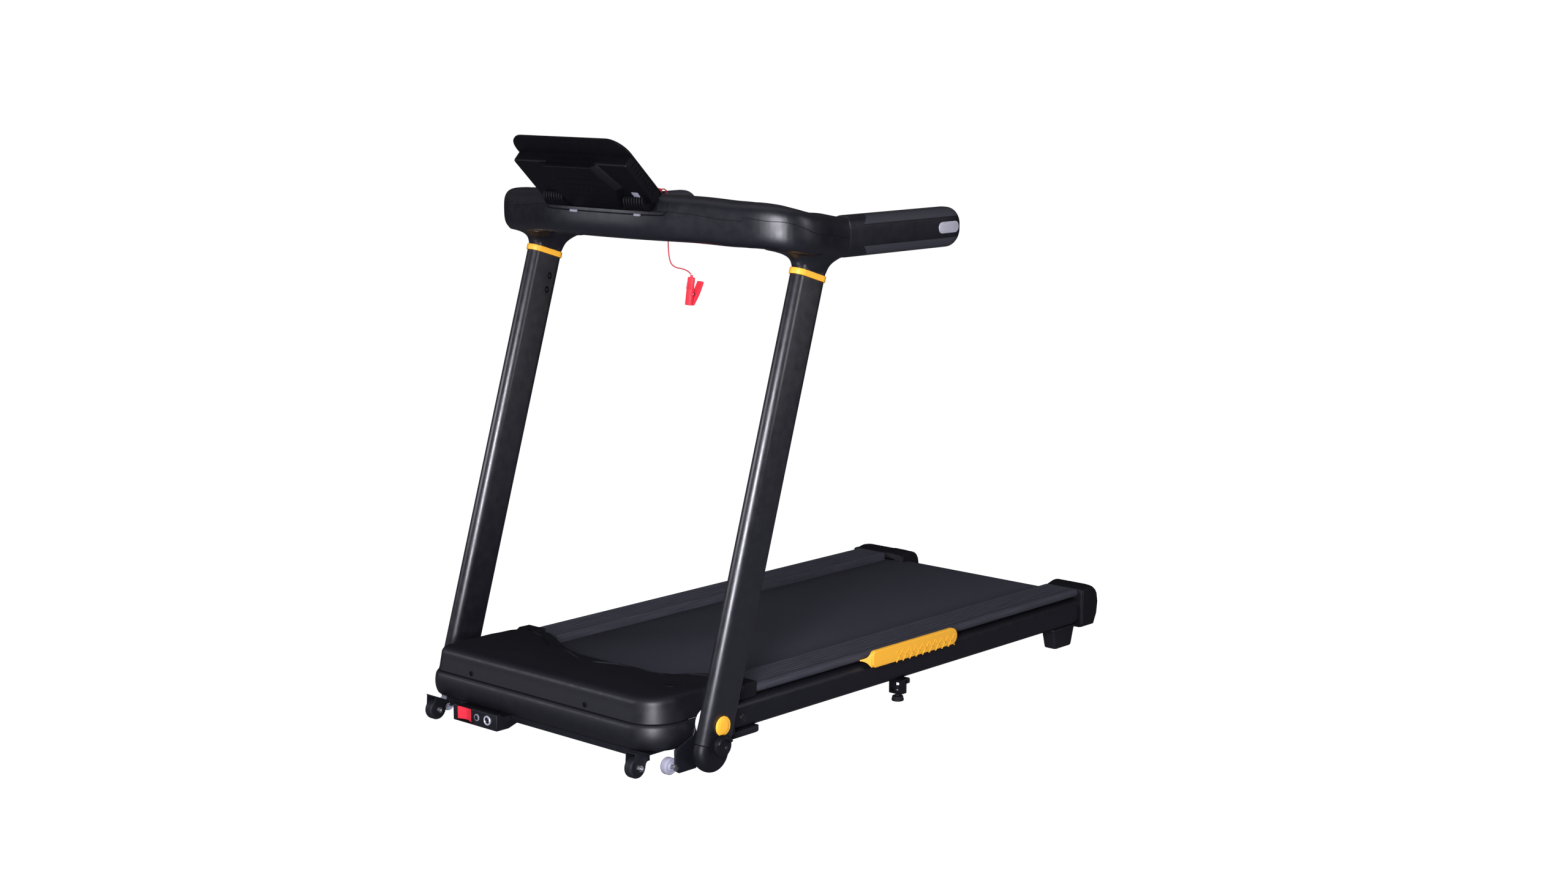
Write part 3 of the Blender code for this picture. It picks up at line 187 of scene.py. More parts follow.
def belt_weave(tree, place, base, gloss, normal):
    """Crossing diagonal ribs, as on a textured running belt."""
    x, y = axis(tree, place, "X"), axis(tree, place, "Y")
    pitch = 2 * math.pi / WEAVE_WIDTH
    first = maths(tree, "SINE", maths(tree, "MULTIPLY", maths(tree, "ADD", x, y), pitch))
    second = maths(tree, "SINE", maths(tree, "MULTIPLY", maths(tree, "SUBTRACT", x, y), pitch))
    weave = maths(tree, "MULTIPLY", first, second)
    share = remap(tree, weave, -1.0, 1.0, 0.25, 0.75)
    base = mix_colour(tree, share, (0.024, 0.024, 0.031), (0.044, 0.044, 0.055))
    return base, gloss, bump(tree, weave, 0.00018, 0.8, normal)


def rail_streaks(tree, place, base, gloss, normal):
    """Faint drawing lines along an extruded rail."""
    stretch = node(tree, "ShaderNodeMapping")
    stretch.inputs["Scale"].default_value = (1.0, 0.02, 1.0)
    tree.links.new(place, stretch.inputs["Vector"])
    lines = noise(tree, stretch.outputs["Vector"], 700.0, 3.0)
    base = mix_colour(tree, remap(tree, lines, 0.35, 0.65, 0.0, 1.0), (0.03, 0.03, 0.039),
                      (0.048, 0.048, 0.06))
    return base, gloss, bump(tree, lines, 0.00008, 0.7, normal)


def seam_line(tree, place, base, gloss, normal):
    """A thin parting line between the two handlebar shells."""
    height = node(tree, "ShaderNodeAttribute", attribute_name="seam").outputs["Fac"]
    near = maths(tree, "ABSOLUTE", height)
    line = remap(tree, near, 0.0003, 0.0008, 1.0, 0.0)
    base = mix_colour(tree, line, base, (0.0015, 0.0015, 0.0018))
    dip = maths(tree, "SUBTRACT", 1.0, line)
    return base, gloss, bump(tree, dip, 0.0008, 0.8, normal)


def grip_zones(tree, place, base, gloss, normal):
    """A smooth dark band along the middle of the handle, soft grip above and below it."""
    y, z = axis(tree, place, "Y"), axis(tree, place, "Z")
    above = maths(tree, "ABSOLUTE", maths(tree, "SUBTRACT", z, GRIP_MIDDLE_Z))
    edge = remap(tree, above, GRIP_BAND_HALF, GRIP_BAND_HALF + 0.0006, 0.0, 1.0)
    start = maths(tree, "SUBTRACT", y, maths(tree, "MULTIPLY", above, 0.9))
    begun = remap(tree, start, GRIP_START_Y - 0.0008, GRIP_START_Y, 0.0, 1.0)
    zone = maths(tree, "MULTIPLY", edge, begun)
    base = mix_colour(tree, zone, base, (0.027, 0.027, 0.034))
    gloss = maths(tree, "ADD", gloss, maths(tree, "MULTIPLY", zone, 0.22))
    pores = noise(tree, place, 2200.0, 2.0)
    normal = bump(tree, maths(tree, "MULTIPLY", pores, zone), 0.00016, 0.8, normal)
    line = remap(tree, maths(tree, "ABSOLUTE", maths(tree, "SUBTRACT", above, GRIP_BAND_HALF)),
                 0.0002, 0.0007, 1.0, 0.0)
    groove = maths(tree, "MULTIPLY", line, begun)
    base = mix_colour(tree, groove, base, (0.004, 0.004, 0.005))
    return base, gloss, bump(tree, maths(tree, "SUBTRACT", 1.0, groove), 0.0006, 0.7, normal)


def brushed(tree, place, base, gloss, normal):
    """Fine drawing lines in a metal plate."""
    stretch = node(tree, "ShaderNodeMapping")
    stretch.inputs["Scale"].default_value = (1.0, 0.03, 1.0)
    tree.links.new(place, stretch.inputs["Vector"])
    lines = noise(tree, stretch.outputs["Vector"], 1800.0, 3.0)
    return base, remap(tree, lines, 0.3, 0.7, 0.22, 0.42), bump(tree, lines, 0.00003, 0.6, normal)


def braid(tree, place, base, gloss, normal):
    """The slanting strands of a braided cord."""
    wave = node(tree, "ShaderNodeTexWave", wave_type="BANDS", bands_direction="DIAGONAL")
    wave.inputs["Scale"].default_value = 260.0
    wave.inputs["Distortion"].default_value = 0.6
    tree.links.new(place, wave.inputs["Vector"])
    twist = wave.outputs["Fac"]
    base = mix_colour(tree, twist, (0.34, 0.016, 0.03), (0.62, 0.04, 0.06))
    return base, gloss, bump(tree, twist, 0.0003, 0.9, normal)


def wood_chips(tree, place, base, gloss, normal):
    """Pressed chips of a deck board."""
    chips = noise(tree, place, 420.0, 6.0, 0.7)
    base = mix_colour(tree, remap(tree, chips, 0.35, 0.65, 0.0, 1.0), (0.075, 0.048, 0.028),
                      (0.17, 0.115, 0.07))
    return base, gloss, bump(tree, chips, 0.0002, 0.6, normal)


# ---------------------------------------------------------------- places, most of them read from the CAD nodes
def centre(name):
    """The middle of a CAD node's box."""
    low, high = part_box(name)
    return (Vector(low) + Vector(high)) / 2


CAP = centre("pivot_cap_right")
PIVOT_Y, PIVOT_Z = CAP.y, CAP.z
LEAN = math.radians(17.2)
UPRIGHT_X = centre("upright_right").x
RAIL_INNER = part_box("foot_rail_right")[0][0]
UPRIGHT_DEPTH = 0.078
UPRIGHT_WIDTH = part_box("upright_right")[1][0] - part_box("upright_right")[0][0]
COLLAR_AT = 0.811
FOOT_AT = -0.04
FOOT_CAP_SKIRT = 0.0068
GAP = 0.0003
HANDLE_LOW, HANDLE_HIGH = Vector(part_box("handle_right")[0]), Vector(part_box("handle_right")[1])
GRIP_MIDDLE_Z = (HANDLE_LOW.z + HANDLE_HIGH.z) / 2 + 0.001
GRIP_BAND_HALF = 0.0195
GRIP_START_Y = HANDLE_LOW.y + 0.022
PULSE_Y, PULSE_Z = HANDLE_HIGH.y - 0.0475, 0.9228

FRAME_BLACK = (0.0045, 0.0045, 0.0072)
LOOKS = {
    "frame": plastic("frame_paint_look", FRAME_BLACK, 0.36, 0.5, grain=1800.0, grain_depth=0.00005),
    "upright": plastic("upright_paint_look", (0.0044, 0.0044, 0.007), 0.37, 1.0, grain=1800.0,
                       grain_depth=0.00005),
    "foot_cap": plastic("foot_cap_look", (0.0046, 0.0046, 0.0066), 0.48, 0.26),
    "hood": plastic("hood_plastic_look", (0.0046, 0.0046, 0.0068), 0.46, 0.4, grain=1100.0,
                    grain_depth=0.0001),
    "bar": plastic("handlebar_look", (0.006, 0.006, 0.009), 0.38, 0.48, grain=1300.0, grain_depth=0.00008,
                   extra=seam_line),
    "console": plastic("console_plastic_look", (0.0018, 0.0018, 0.0028), 0.5, 0.13, grain=1300.0,
                       grain_depth=0.00008),
    # Near-black, dull look for the thin tiles, discs and rings put in slots, holes and seats: painted shade
    # standing in for the dark inside of openings.
    "painted_shade": plastic("painted_shade_look", (0.0012, 0.0012, 0.0018), 0.6, 0.1),
    "grip": plastic("grip_look", (0.006, 0.006, 0.009), 0.38, 0.42, grain=1500.0, grain_depth=0.00006,
                    extra=grip_zones),
    "rail": plastic("rail_plastic_look", (0.02, 0.02, 0.027), 0.48, 0.28, extra=rail_streaks),
    "belt": plastic("belt_rubber_look", (0.02, 0.02, 0.026), 0.66, 0.22, grain=2400.0, grain_depth=0.0001,
                    extra=belt_weave),
    "yellow": plastic("yellow_plastic_look", (0.87, 0.43, 0.035), 0.4, 0.4, spread=0.03, grain=1200.0,
                      grain_depth=0.00005),
    "red": plastic("red_plastic_look", (0.74, 0.028, 0.048), 0.36, 0.42, spread=0.05, grain=1500.0,
                   grain_depth=0.00004),
    "cord": plastic("red_cord_look", (0.5, 0.03, 0.05), 0.62, 0.25, spread=0.05, extra=braid),
    "grey": plastic("grey_urethane_look", (0.3, 0.3, 0.37), 0.5, 0.35, spread=0.08),
    "washer": plastic("pale_washer_look", (0.74, 0.74, 0.78), 0.46, 0.35, spread=0.05),
    "button": plastic("grey_button_look", (0.2, 0.2, 0.24), 0.46, 0.35, spread=0.05),
    "tyre": plastic("tyre_rubber_look", (0.007, 0.007, 0.01), 0.62, 0.25, grain=900.0,
                    grain_depth=0.00018),
    "rubber": plastic("foot_rubber_look", (0.008, 0.008, 0.011), 0.7, 0.22, grain=700.0,
                      grain_depth=0.00022),
    "steel": plastic("zinc_steel_look", (0.5, 0.5, 0.52), 0.3, 0.5, spread=0.12, grain=1600.0,
                     grain_depth=0.00004, metallic=1.0),
    "sensor": plastic("sensor_steel_look", (0.5, 0.5, 0.56), 0.34, 0.5, spread=0.06, metallic=0.35,
                      extra=brushed),
    "black_steel": plastic("black_screw_look", (0.03, 0.03, 0.034), 0.32, 0.5, spread=0.15, metallic=0.6),
    "lens": plastic("display_lens_look", (0.004, 0.004, 0.006), 0.32, 0.12, spread=0.05, grain=300.0,
                    grain_depth=0.00001, coat=0.6),
    "board": plastic("deck_board_look", (0.12, 0.08, 0.05), 0.62, 0.25, extra=wood_chips),
}
NODE_LOOKS = {
    "motor_tray": "frame", "rear_cross_member": "frame", "running_deck": "board", "front_roller": "steel",
    "rear_roller": "steel", "drive_motor": "frame", "motor_pulley": "steel", "drive_belt": "tyre",
}


# ---------------------------------------------------------------- shape helpers
def solid(make, *shape, **options):
    """A new bmesh holding one shape."""
    bm = bmesh.new()
    make(bm, *shape, **options)
    return bm


def finish(name, bm, look, body, nodes=(), bevel=0.0, segments=3, sharp=38.0, merge=True):
    """Turn a bmesh into a piece of the model."""
    if merge:
        bmesh.ops.remove_doubles(bm, verts=bm.verts, dist=0.000002)
    bmesh.ops.recalc_face_normals(bm, faces=bm.faces)
    mesh = bpy.data.meshes.new(name)
    bm.to_mesh(mesh)
    bm.free()
    return finish_mesh(name, mesh, look, body, nodes, bevel, segments, sharp)


def finish_mesh(name, mesh, look, body, nodes=(), bevel=0.0, segments=3, sharp=38.0):
    """Give a mesh its look, bevel and shading, hang it on its body and hide the CAD nodes it stands in for.
    """
    item = bpy.data.objects.new(name, mesh)
    bpy.context.scene.collection.objects.link(item)
    mesh.materials.clear()
    mesh.materials.append(LOOKS[look])
    if bevel:
        step = item.modifiers.new("bevel", "BEVEL")
        step.width = bevel
        step.segments = segments
        step.limit_method = "ANGLE"
        step.angle_limit = math.radians(30)
        step.use_clamp_overlap = True
        bake(item)
    item.data.shade_smooth()
    item.data.set_sharp_from_angle(angle=math.radians(sharp))
    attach(item, body)
    if nodes:
        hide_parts(*nodes)
    return item


def bake(item):
    """Apply an object's modifiers to its mesh."""
    bpy.context.view_layer.update()
    evaluated = item.evaluated_get(bpy.context.evaluated_depsgraph_get())
    mesh = bpy.data.meshes.new_from_object(evaluated)
    item.modifiers.clear()
    old = item.data
    item.data = mesh
    bpy.data.meshes.remove(old)


def boolean(item, tool):
    """Cut an object with a tool, then delete the tool."""
    step = item.modifiers.new("boolean", "BOOLEAN")
    step.operation = "DIFFERENCE"
    step.solver = "EXACT"
    step.object = tool
    bake(item)
    bpy.data.objects.remove(tool, do_unlink=True)


def loose(bm, name="tool"):
    """An object that is not a piece yet: a cutting tool, or a body still to be shaped."""
    bmesh.ops.recalc_face_normals(bm, faces=bm.faces)
    mesh = bpy.data.meshes.new(name)
    bm.to_mesh(mesh)
    bm.free()
    item = bpy.data.objects.new(name, mesh)
    bpy.context.scene.collection.objects.link(item)
    return item


def arc(middle, radius, start, stop, steps):
    """Points along a part of a circle, between two angles in degrees."""
    angles = [math.radians(start + (stop - start) * i / steps) for i in range(steps + 1)]
    return [(middle[0] + radius * math.cos(a), middle[1] + radius * math.sin(a)) for a in angles]


def rounded_rectangle(low, high, radius, steps=6):
    """The outline of a rectangle with round corners."""
    (x0, y0), (x1, y1) = low, high
    return (arc((x1 - radius, y1 - radius), radius, 0, 90, steps)
            + arc((x0 + radius, y1 - radius), radius, 90, 180, steps)
            + arc((x0 + radius, y0 + radius), radius, 180, 270, steps)
            + arc((x1 - radius, y0 + radius), radius, 270, 360, steps))


def stadium(length, width, steps=18):
    """A pill outline: two half circles joined by straight sides."""
    half, radius = (length - width) / 2, width / 2
    return arc((half, 0), radius, -90, 90, steps) + arc((-half, 0), radius, 90, 270, steps)


def superellipse(half_width, half_height, power, steps):
    """An outline between an oval and a rectangle."""
    points = []
    for i in range(steps):
        angle = 2 * math.pi * i / steps
        c, s = math.cos(angle), math.sin(angle)
        points.append((math.copysign(abs(c) ** (2 / power), c) * half_width,
                       math.copysign(abs(s) ** (2 / power), s) * half_height))
    return points


def loft(bm, rings, closed=False, caps=True):
    """A skin over rings of equal count: capped at its ends, or closed back on itself."""
    rows = [[bm.verts.new(point) for point in ring] for ring in rings]
    count = len(rows[0])
    pairs = list(zip(rows, rows[1:])) + ([(rows[-1], rows[0])] if closed else [])
    for lower, upper in pairs:
        for i in range(count):
            j = (i + 1) % count
            bm.faces.new((lower[i], lower[j], upper[j], upper[i]))
    if caps and not closed:
        bm.faces.new(rows[0][::-1])
        bm.faces.new(rows[-1])
    return rows


def slab(bm, outline, low, high, place):
    """A flat outline made thick from low to high, put in the world by a function of (a, b, depth)."""
    loft(bm, [[place(a, b, depth) for a, b in outline] for depth in (low, high)])


def turned(bm, profile, place, steps=48):
    """A closed profile of (radius, height) turned round its axis; place maps (a, b, height)."""
    rings = []
    for i in range(steps):
        angle = 2 * math.pi * i / steps
        rings.append([place(r * math.cos(angle), r * math.sin(angle), h) for r, h in profile])
    loft(bm, rings, closed=True)


def dome(bm, profile, place, steps=48):
    """A solid of revolution whose profile starts and ends on its axis."""
    inner = profile[1:-1]
    rings = [[place(r * math.cos(2 * math.pi * i / steps), r * math.sin(2 * math.pi * i / steps), h)
              for i in range(steps)] for r, h in inner]
    rows = loft(bm, rings, caps=False)
    for row, (_, h) in ((rows[0], profile[0]), (rows[-1], profile[-1])):
        tip = bm.verts.new(place(0.0, 0.0, h))
        for i in range(steps):
            bm.faces.new((row[i], row[(i + 1) % steps], tip))


def facing_x(sign, x, y, z):
    """Discs and slabs that face out sideways: (a, b) is (Y, Z), depth runs outwards along X."""
    return lambda a, b, depth: Vector((sign * (x + depth), y + a, z + b))


def facing_y(x, y, z, sign=-1.0):
    """(a, b) is (X, Z), depth runs along Y."""
    return lambda a, b, depth: Vector((x + a, y + sign * depth, z + b))


def facing_z(x, y, z):
    """(a, b) is (X, Y), depth runs up along Z."""
    return lambda a, b, depth: Vector((x + a, y + b, z + depth))


def blend(stops, at):
    """A smooth value between stops of (place, value)."""
    if at <= stops[0][0]:
        return stops[0][1]
    for (a, low), (b, high) in zip(stops, stops[1:]):
        if at <= b:
            t = (at - a) / (b - a)
            t = t * t * (3 - 2 * t)
            return low + (high - low) * t
    return stops[-1][1]


def smooth_route(points, spacing):
    """Evenly spaced places along a smooth curve through the points."""
    knots = [Vector(p) for p in points]
    knots = [2 * knots[0] - knots[1]] + knots + [2 * knots[-1] - knots[-2]]
    fine = []
    for a, b, c, d in zip(knots, knots[1:], knots[2:], knots[3:]):
        for i in range(24):
            t = i / 24
            fine.append(0.5 * ((2 * b) + (c - a) * t + (2 * a - 5 * b + 4 * c - d) * t ** 2
                               + (3 * b - a - 3 * c + d) * t ** 3))
    fine.append(knots[-2])
    even, walked = [fine[0]], 0.0
    for before, after in zip(fine, fine[1:]):
        walked += (after - before).length
        if walked >= spacing:
            even.append(after)
            walked = 0.0
    if (even[-1] - fine[-1]).length > spacing / 2:
        even.append(fine[-1])
    return even


SIDES = (("right", 1.0), ("left", -1.0))


def screw(name, place, radius, body, look="black_steel", height=0.0018):
    """A button-head screw with a hexagon socket."""
    profile = [(0, 0), (radius, 0), (radius, height * 0.35), (radius * 0.86, height * 0.8),
               (radius * 0.6, height), (radius * 0.46, height), (radius * 0.42, height * 0.3),
               (0, height * 0.3)]
    finish(name, solid(dome, profile, place, 24), look, body)


def hex_head(bm, place, radius, low, high):
    """A hexagon bolt head or nut."""
    slab(bm, arc((0, 0), radius, 0, 300, 5), low, high, place)


# ---------------------------------------------------------------- safety cord (its route is the CAD's own)
CORD_ROUTE = [
    (0.094, -0.4085, 1.005), (0.094, -0.401, 1.0056), (0.094, -0.3945, 1.002), (0.094, -0.392, 0.994),
    (0.094, -0.3916, 0.978), (0.094, -0.3914, 0.955), (0.094, -0.3912, 0.93), (0.0941, -0.391, 0.905),
    (0.0948, -0.3902, 0.885), (0.0976, -0.3872, 0.87), (0.1036, -0.381, 0.863), (0.111, -0.3735, 0.8605),
    (0.118, -0.3665, 0.8565), (0.1235, -0.3605, 0.849),
]
CORD_RADIUS = 0.0011
CLIP_TOP = Vector((0.1225, -0.3602, 0.844))
CLIP_TURN = math.radians(82)


def safety_cord():
    """The lanyard, as a curve from the key to the clip."""
    route = smooth_route(CORD_ROUTE, 0.0055)
    curve = bpy.data.curves.new("lanyard", "CURVE")
    curve.dimensions = "3D"
    curve.bevel_depth = CORD_RADIUS
    curve.bevel_resolution = 5
    curve.resolution_u = 6
    curve.use_fill_caps = True
    spline = curve.splines.new("POLY")
    fine = smooth_route(route, 0.0018)
    spline.points.add(len(fine) - 1)
    for point, place in zip(spline.points, fine):
        point.co = (*place, 1.0)
    curve.materials.append(LOOKS["cord"])
    item = bpy.data.objects.new("lanyard", curve)
    bpy.context.scene.collection.objects.link(item)
    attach(item, "safety_key")
    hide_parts("safety_cord")
    return item


def clip():
    """A two-jawed clip with ribbed finger pads and a pin."""
    base = Matrix.Translation(CLIP_TOP) @ Matrix.Rotation(CLIP_TURN, 4, "Z")

    def place(a, b, depth):
        return base @ Vector((a, -depth, b))
    fixed = [(-0.003, 0.0), (-0.0018, 0.0009), (0.0014, 0.0005), (0.0025, -0.001), (0.0008, -0.013),
             (-0.001, -0.026), (-0.0026, -0.038), (-0.0042, -0.049), (-0.005, -0.05), (-0.0094, -0.0497),
             (-0.01, -0.0485), (-0.0086, -0.038), (-0.0066, -0.024), (-0.0048, -0.011)]
    jaw = finish("clip_jaw_body", solid(slab, fixed[::-1], -0.0078, 0.0078, place), "red", "safety_key",
                 ["clip_jaw_fixed"], bevel=0.0011, segments=4)
    moving = [(0.0182, -0.008), (0.0194, -0.0076), (0.0226, -0.009), (0.0234, -0.0102), (0.0184, -0.0215),
              (0.0125, -0.033), (0.0066, -0.042), (0.0012, -0.05), (-0.0002, -0.0505), (-0.003, -0.0504),
              (0.0012, -0.04), (0.006, -0.03), (0.0122, -0.019)]
    bm = bmesh.new()
    slab(bm, moving[::-1], -0.0068, 0.0068, place)
    lever = finish("clip_lever_body", bm, "red", "clip_jaw", ["clip_jaw_moving"], bevel=0.0011, segments=4)
    bm = bmesh.new()
    for side in (-1.0, 1.0):
        dome(bm, [(0, 0.0076), (0.0021, 0.0076), (0.0021, 0.0082), (0.0014, 0.0087), (0, 0.0088)],
             lambda a, b, h, side=side: place(-0.001 + a, -0.03 + b, side * h), 20)
    finish("clip_pin", bm, "steel", "safety_key")
    bm = bmesh.new()
    for k in range(5):
        at = -0.0045 - 0.0034 * k
        edge = -0.0036 - 0.00115 * k
        slab(bm, [(edge - 0.0008, at), (edge + 0.001, at), (edge + 0.0008, at - 0.0014),
                  (edge - 0.001, at - 0.0014)], -0.006, 0.006, place)
    finish("clip_grip_ribs", bm, "red", "safety_key")
    bm = bmesh.new()
    dome(bm, [(0, 0.0), (0.0022, 0.0), (0.0026, 0.0012), (0.0026, 0.0046), (0.0016, 0.0062), (0, 0.0062)],
         lambda a, b, h: CLIP_TOP + Vector((a, b, h - 0.0012)), 24)
    ferrule = finish("lanyard_ferrule", bm, "red", "safety_key")
    return [jaw, lever, ferrule]


def key():
    """The magnetic key, its grip tab, and the seat it lies on."""
    low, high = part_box("safety_key")
    middle = centre("safety_key")
    tall = high[2] - low[2]
    bm = bmesh.new()
    dome(bm, [(0, 0), (0.0135, 0), (0.0136, tall * 0.25), (0.013, tall * 0.62), (0.0122, tall * 0.9),
              (0.0108, tall), (0.0088, tall * 0.96), (0, tall * 0.86)],
         facing_z(middle.x, middle.y, low[2]), 56)
    finish("key_cap", bm, "red", "safety_key", ["safety_key"])
    bm = bmesh.new()
    slab(bm, rounded_rectangle((-0.0026, 0.007), (0.0026, 0.0172), 0.0014), 0.0012, 0.0054,
         facing_z(middle.x, middle.y, low[2]))
    finish("key_tab", bm, "red", "safety_key", bevel=0.0006)
    # The seat is a dark ring of painted shade round the foot of the key.
    bm = bmesh.new()
    turned(bm, [(0.0142, 0.0), (0.0178, 0.0), (0.0176, 0.0009), (0.0146, 0.0012)],
           facing_z(middle.x, middle.y, low[2] - 0.0007))
    finish("key_seat", bm, "painted_shade", "upright_frame")


cord = safety_cord()
clip_pieces = clip()
key()


# ---------------------------------------------------------------- base frame
def side_tubes():
    for side, _ in SIDES:
        low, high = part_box(f"side_tube_{side}")
        half_w, half_h = (high[0] - low[0]) / 2, (high[2] - low[2]) / 2
        at = centre(f"side_tube_{side}")
        bm = bmesh.new()
        rings = []
        for y, inset in ((low[1], 0.0012), (low[1] + 0.0012, 0.0), (high[1] - 0.0002, 0.0), (high[1], 0.0)):
            outline = rounded_rectangle((-half_w + inset, -half_h + inset), (half_w - inset, half_h - inset),
                                        0.0148 - inset, 10)
            rings.append([Vector((at.x + a, y, at.z + b)) for a, b in outline])
        loft(bm, rings)
        finish(f"tube_skin_{side}", bm, "frame", "base", [f"side_tube_{side}"])


def foot_rails():
    """Grooved treads with a rolled outer lip, and a faceted cap at the front end."""
    for side, sign in SIDES:
        low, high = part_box(f"foot_rail_{side}")
        inner, outer = sorted((abs(low[0]), abs(high[0])))
        top, front, rear = high[2], low[1], high[1]
        lip = 0.0085
        outline = [(inner, 0.1018), (inner, top - 0.0012)]
        outline += arc((inner + 0.0012, top - 0.0012), 0.0012, 180, 90, 4)[1:]
        for k in range(6):
            x = inner + 0.0085 + k * 0.0105
            outline += [(x, top), (x + 0.0005, top - 0.0005), (x + 0.0008, top - 0.0013),
                        (x + 0.0022, top - 0.0013), (x + 0.0025, top - 0.0005), (x + 0.003, top)]
        outline += arc((outer - lip, top - lip), lip, 90, -90, 22)
        outline += [(0.288, top - 2 * lip), (0.288, 0.0979), (0.264, 0.0979), (0.264, 0.1018)]
        bm = bmesh.new()
        loft(bm, [[Vector((sign * x, y, z)) for x, z in outline] for y in (front, rear)])
        finish(f"tread_{side}", bm, "rail", "base", [f"foot_rail_{side}"], sharp=50)
        bm = bmesh.new()
        cap = [(front + 0.001, 0.0978), (front + 0.001, top + 0.0075), (front - 0.026, top + 0.008),
               (front - 0.032, top + 0.005), (front - 0.045, 0.101), (front - 0.045, 0.0978)]
        slab(bm, cap, 0.26, outer + 0.0012, lambda y, z, depth: Vector((sign * depth, y, z)))
        finish(f"rail_front_cap_{side}", bm, "foot_cap", "base", bevel=0.0032, segments=4, sharp=28)


def rear_ends():
    """End caps with a double bead at their front edge, the feet below, and a screw in each side tube."""
    for side, sign in SIDES:
        low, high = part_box(f"rear_end_cap_{side}")
        inner, outer = sorted((abs(low[0]), abs(high[0])))
        front, rear, bottom, top = low[1], high[1], low[2], high[2]
        outline = [(front, bottom), (rear - 0.015, bottom), (rear - 0.0035, bottom + 0.022),
                   (rear, bottom + 0.047)]
        outline += [(rear - 0.0035, top - 0.019), (rear - 0.009, top - 0.01), (rear - 0.016, top - 0.0045),
                    (rear - 0.025, top - 0.0012), (rear - 0.035, top), (rear - 0.043, top - 0.0006),
                    (rear - 0.052, top - 0.0026), (front, top - 0.0058)]
        bm = bmesh.new()
        rings = []
        for x, drop in ((inner, 0.001), (inner + 0.0012, 0.0), (outer - 0.02, 0.0), (outer - 0.012, 0.0006),
                        (outer - 0.006, 0.002), (outer - 0.0025, 0.004), (outer - 0.0006, 0.0068),
                        (outer, 0.0095)):
            ring = []
            for y, z in outline:
                height = max(0.0, (z - 0.08) / (top - 0.08))
                reach = max(0.0, (y - front) / (rear - front))
                ring.append(Vector((sign * x, y - drop * 0.7 * reach, z - drop * height)))
            rings.append(ring)
        loft(bm, rings)
        finish(f"end_cap_{side}", bm, "foot_cap", "base", [f"rear_end_cap_{side}"], bevel=0.001, sharp=30)
        bm = bmesh.new()
        for step in (0.0002, 0.0054):
            rings = []
            for y, grow in ((step, 0.0), (step + 0.0004, 0.0009), (step + 0.0012, 0.0013),
                            (step + 0.0028, 0.0013), (step + 0.0036, 0.0009), (step + 0.004, 0.0)):
                rect = rounded_rectangle((inner - grow, bottom - grow), (outer + grow, top - 0.0058 + grow),
                                         0.007 + grow, 8)
                rings.append([Vector((sign * x, front + y, z)) for x, z in rect])
            loft(bm, rings)
        finish(f"end_cap_bead_{side}", bm, "foot_cap", "base", merge=False, sharp=50)
        low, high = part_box(f"rear_foot_{side}")
        at = centre(f"rear_foot_{side}")
        bm = bmesh.new()
        rings = []
        for share, inset in ((0.0, 0.0085), (0.03, 0.0072), (0.09, 0.0064), (0.5, 0.004), (0.86, 0.0018),
                             (0.9, 0.0), (1.0, 0.0)):
            z = low[2] + (high[2] - low[2]) * share
            rect = rounded_rectangle((-(high[0] - low[0]) / 2 + inset * 0.45,
                                      -(high[1] - low[1]) / 2 + inset * 1.45),
                                     ((high[0] - low[0]) / 2 - inset * 0.45,
                                      (high[1] - low[1]) / 2 - inset * 1.45), 0.005)
            rings.append([Vector((at.x + a, at.y + b, z)) for a, b in rect])
        loft(bm, rings)
        finish(f"rear_foot_block_{side}", bm, "rubber", "base", [f"rear_foot_{side}"], bevel=0.0006,
               segments=2)
        low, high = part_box(f"block_foot_{side}")
        at = centre(f"block_foot_{side}")
        bm = bmesh.new()
        rings = []
        for share, inset in ((0.0, 0.004), (0.12, 0.0012), (0.3, 0.0), (1.0, 0.0)):
            z = low[2] + (high[2] - low[2]) * share
            rect = rounded_rectangle((low[0] + inset, low[1] + inset), (high[0] - inset, high[1] - inset),
                                     0.004)
            rings.append([Vector((a, b, z)) for a, b in rect])
        loft(bm, rings)
        finish(f"front_block_{side}", bm, "rubber", "base", [f"block_foot_{side}"], bevel=0.0006, segments=2)
        place = facing_x(sign, abs(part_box(f"side_tube_{side}")[sign > 0][0]), -0.428, 0.067)
        bm = bmesh.new()
        turned(bm, [(0.0062, -0.0003), (0.0082, -0.0003), (0.008, 0.0006), (0.0074, 0.0011),
                    (0.0064, 0.0008)], place)
        finish(f"frame_screw_seat_{side}", bm, "black_steel", "base")
        screw(f"frame_screw_{side}", place, 0.006, "base", height=0.001)


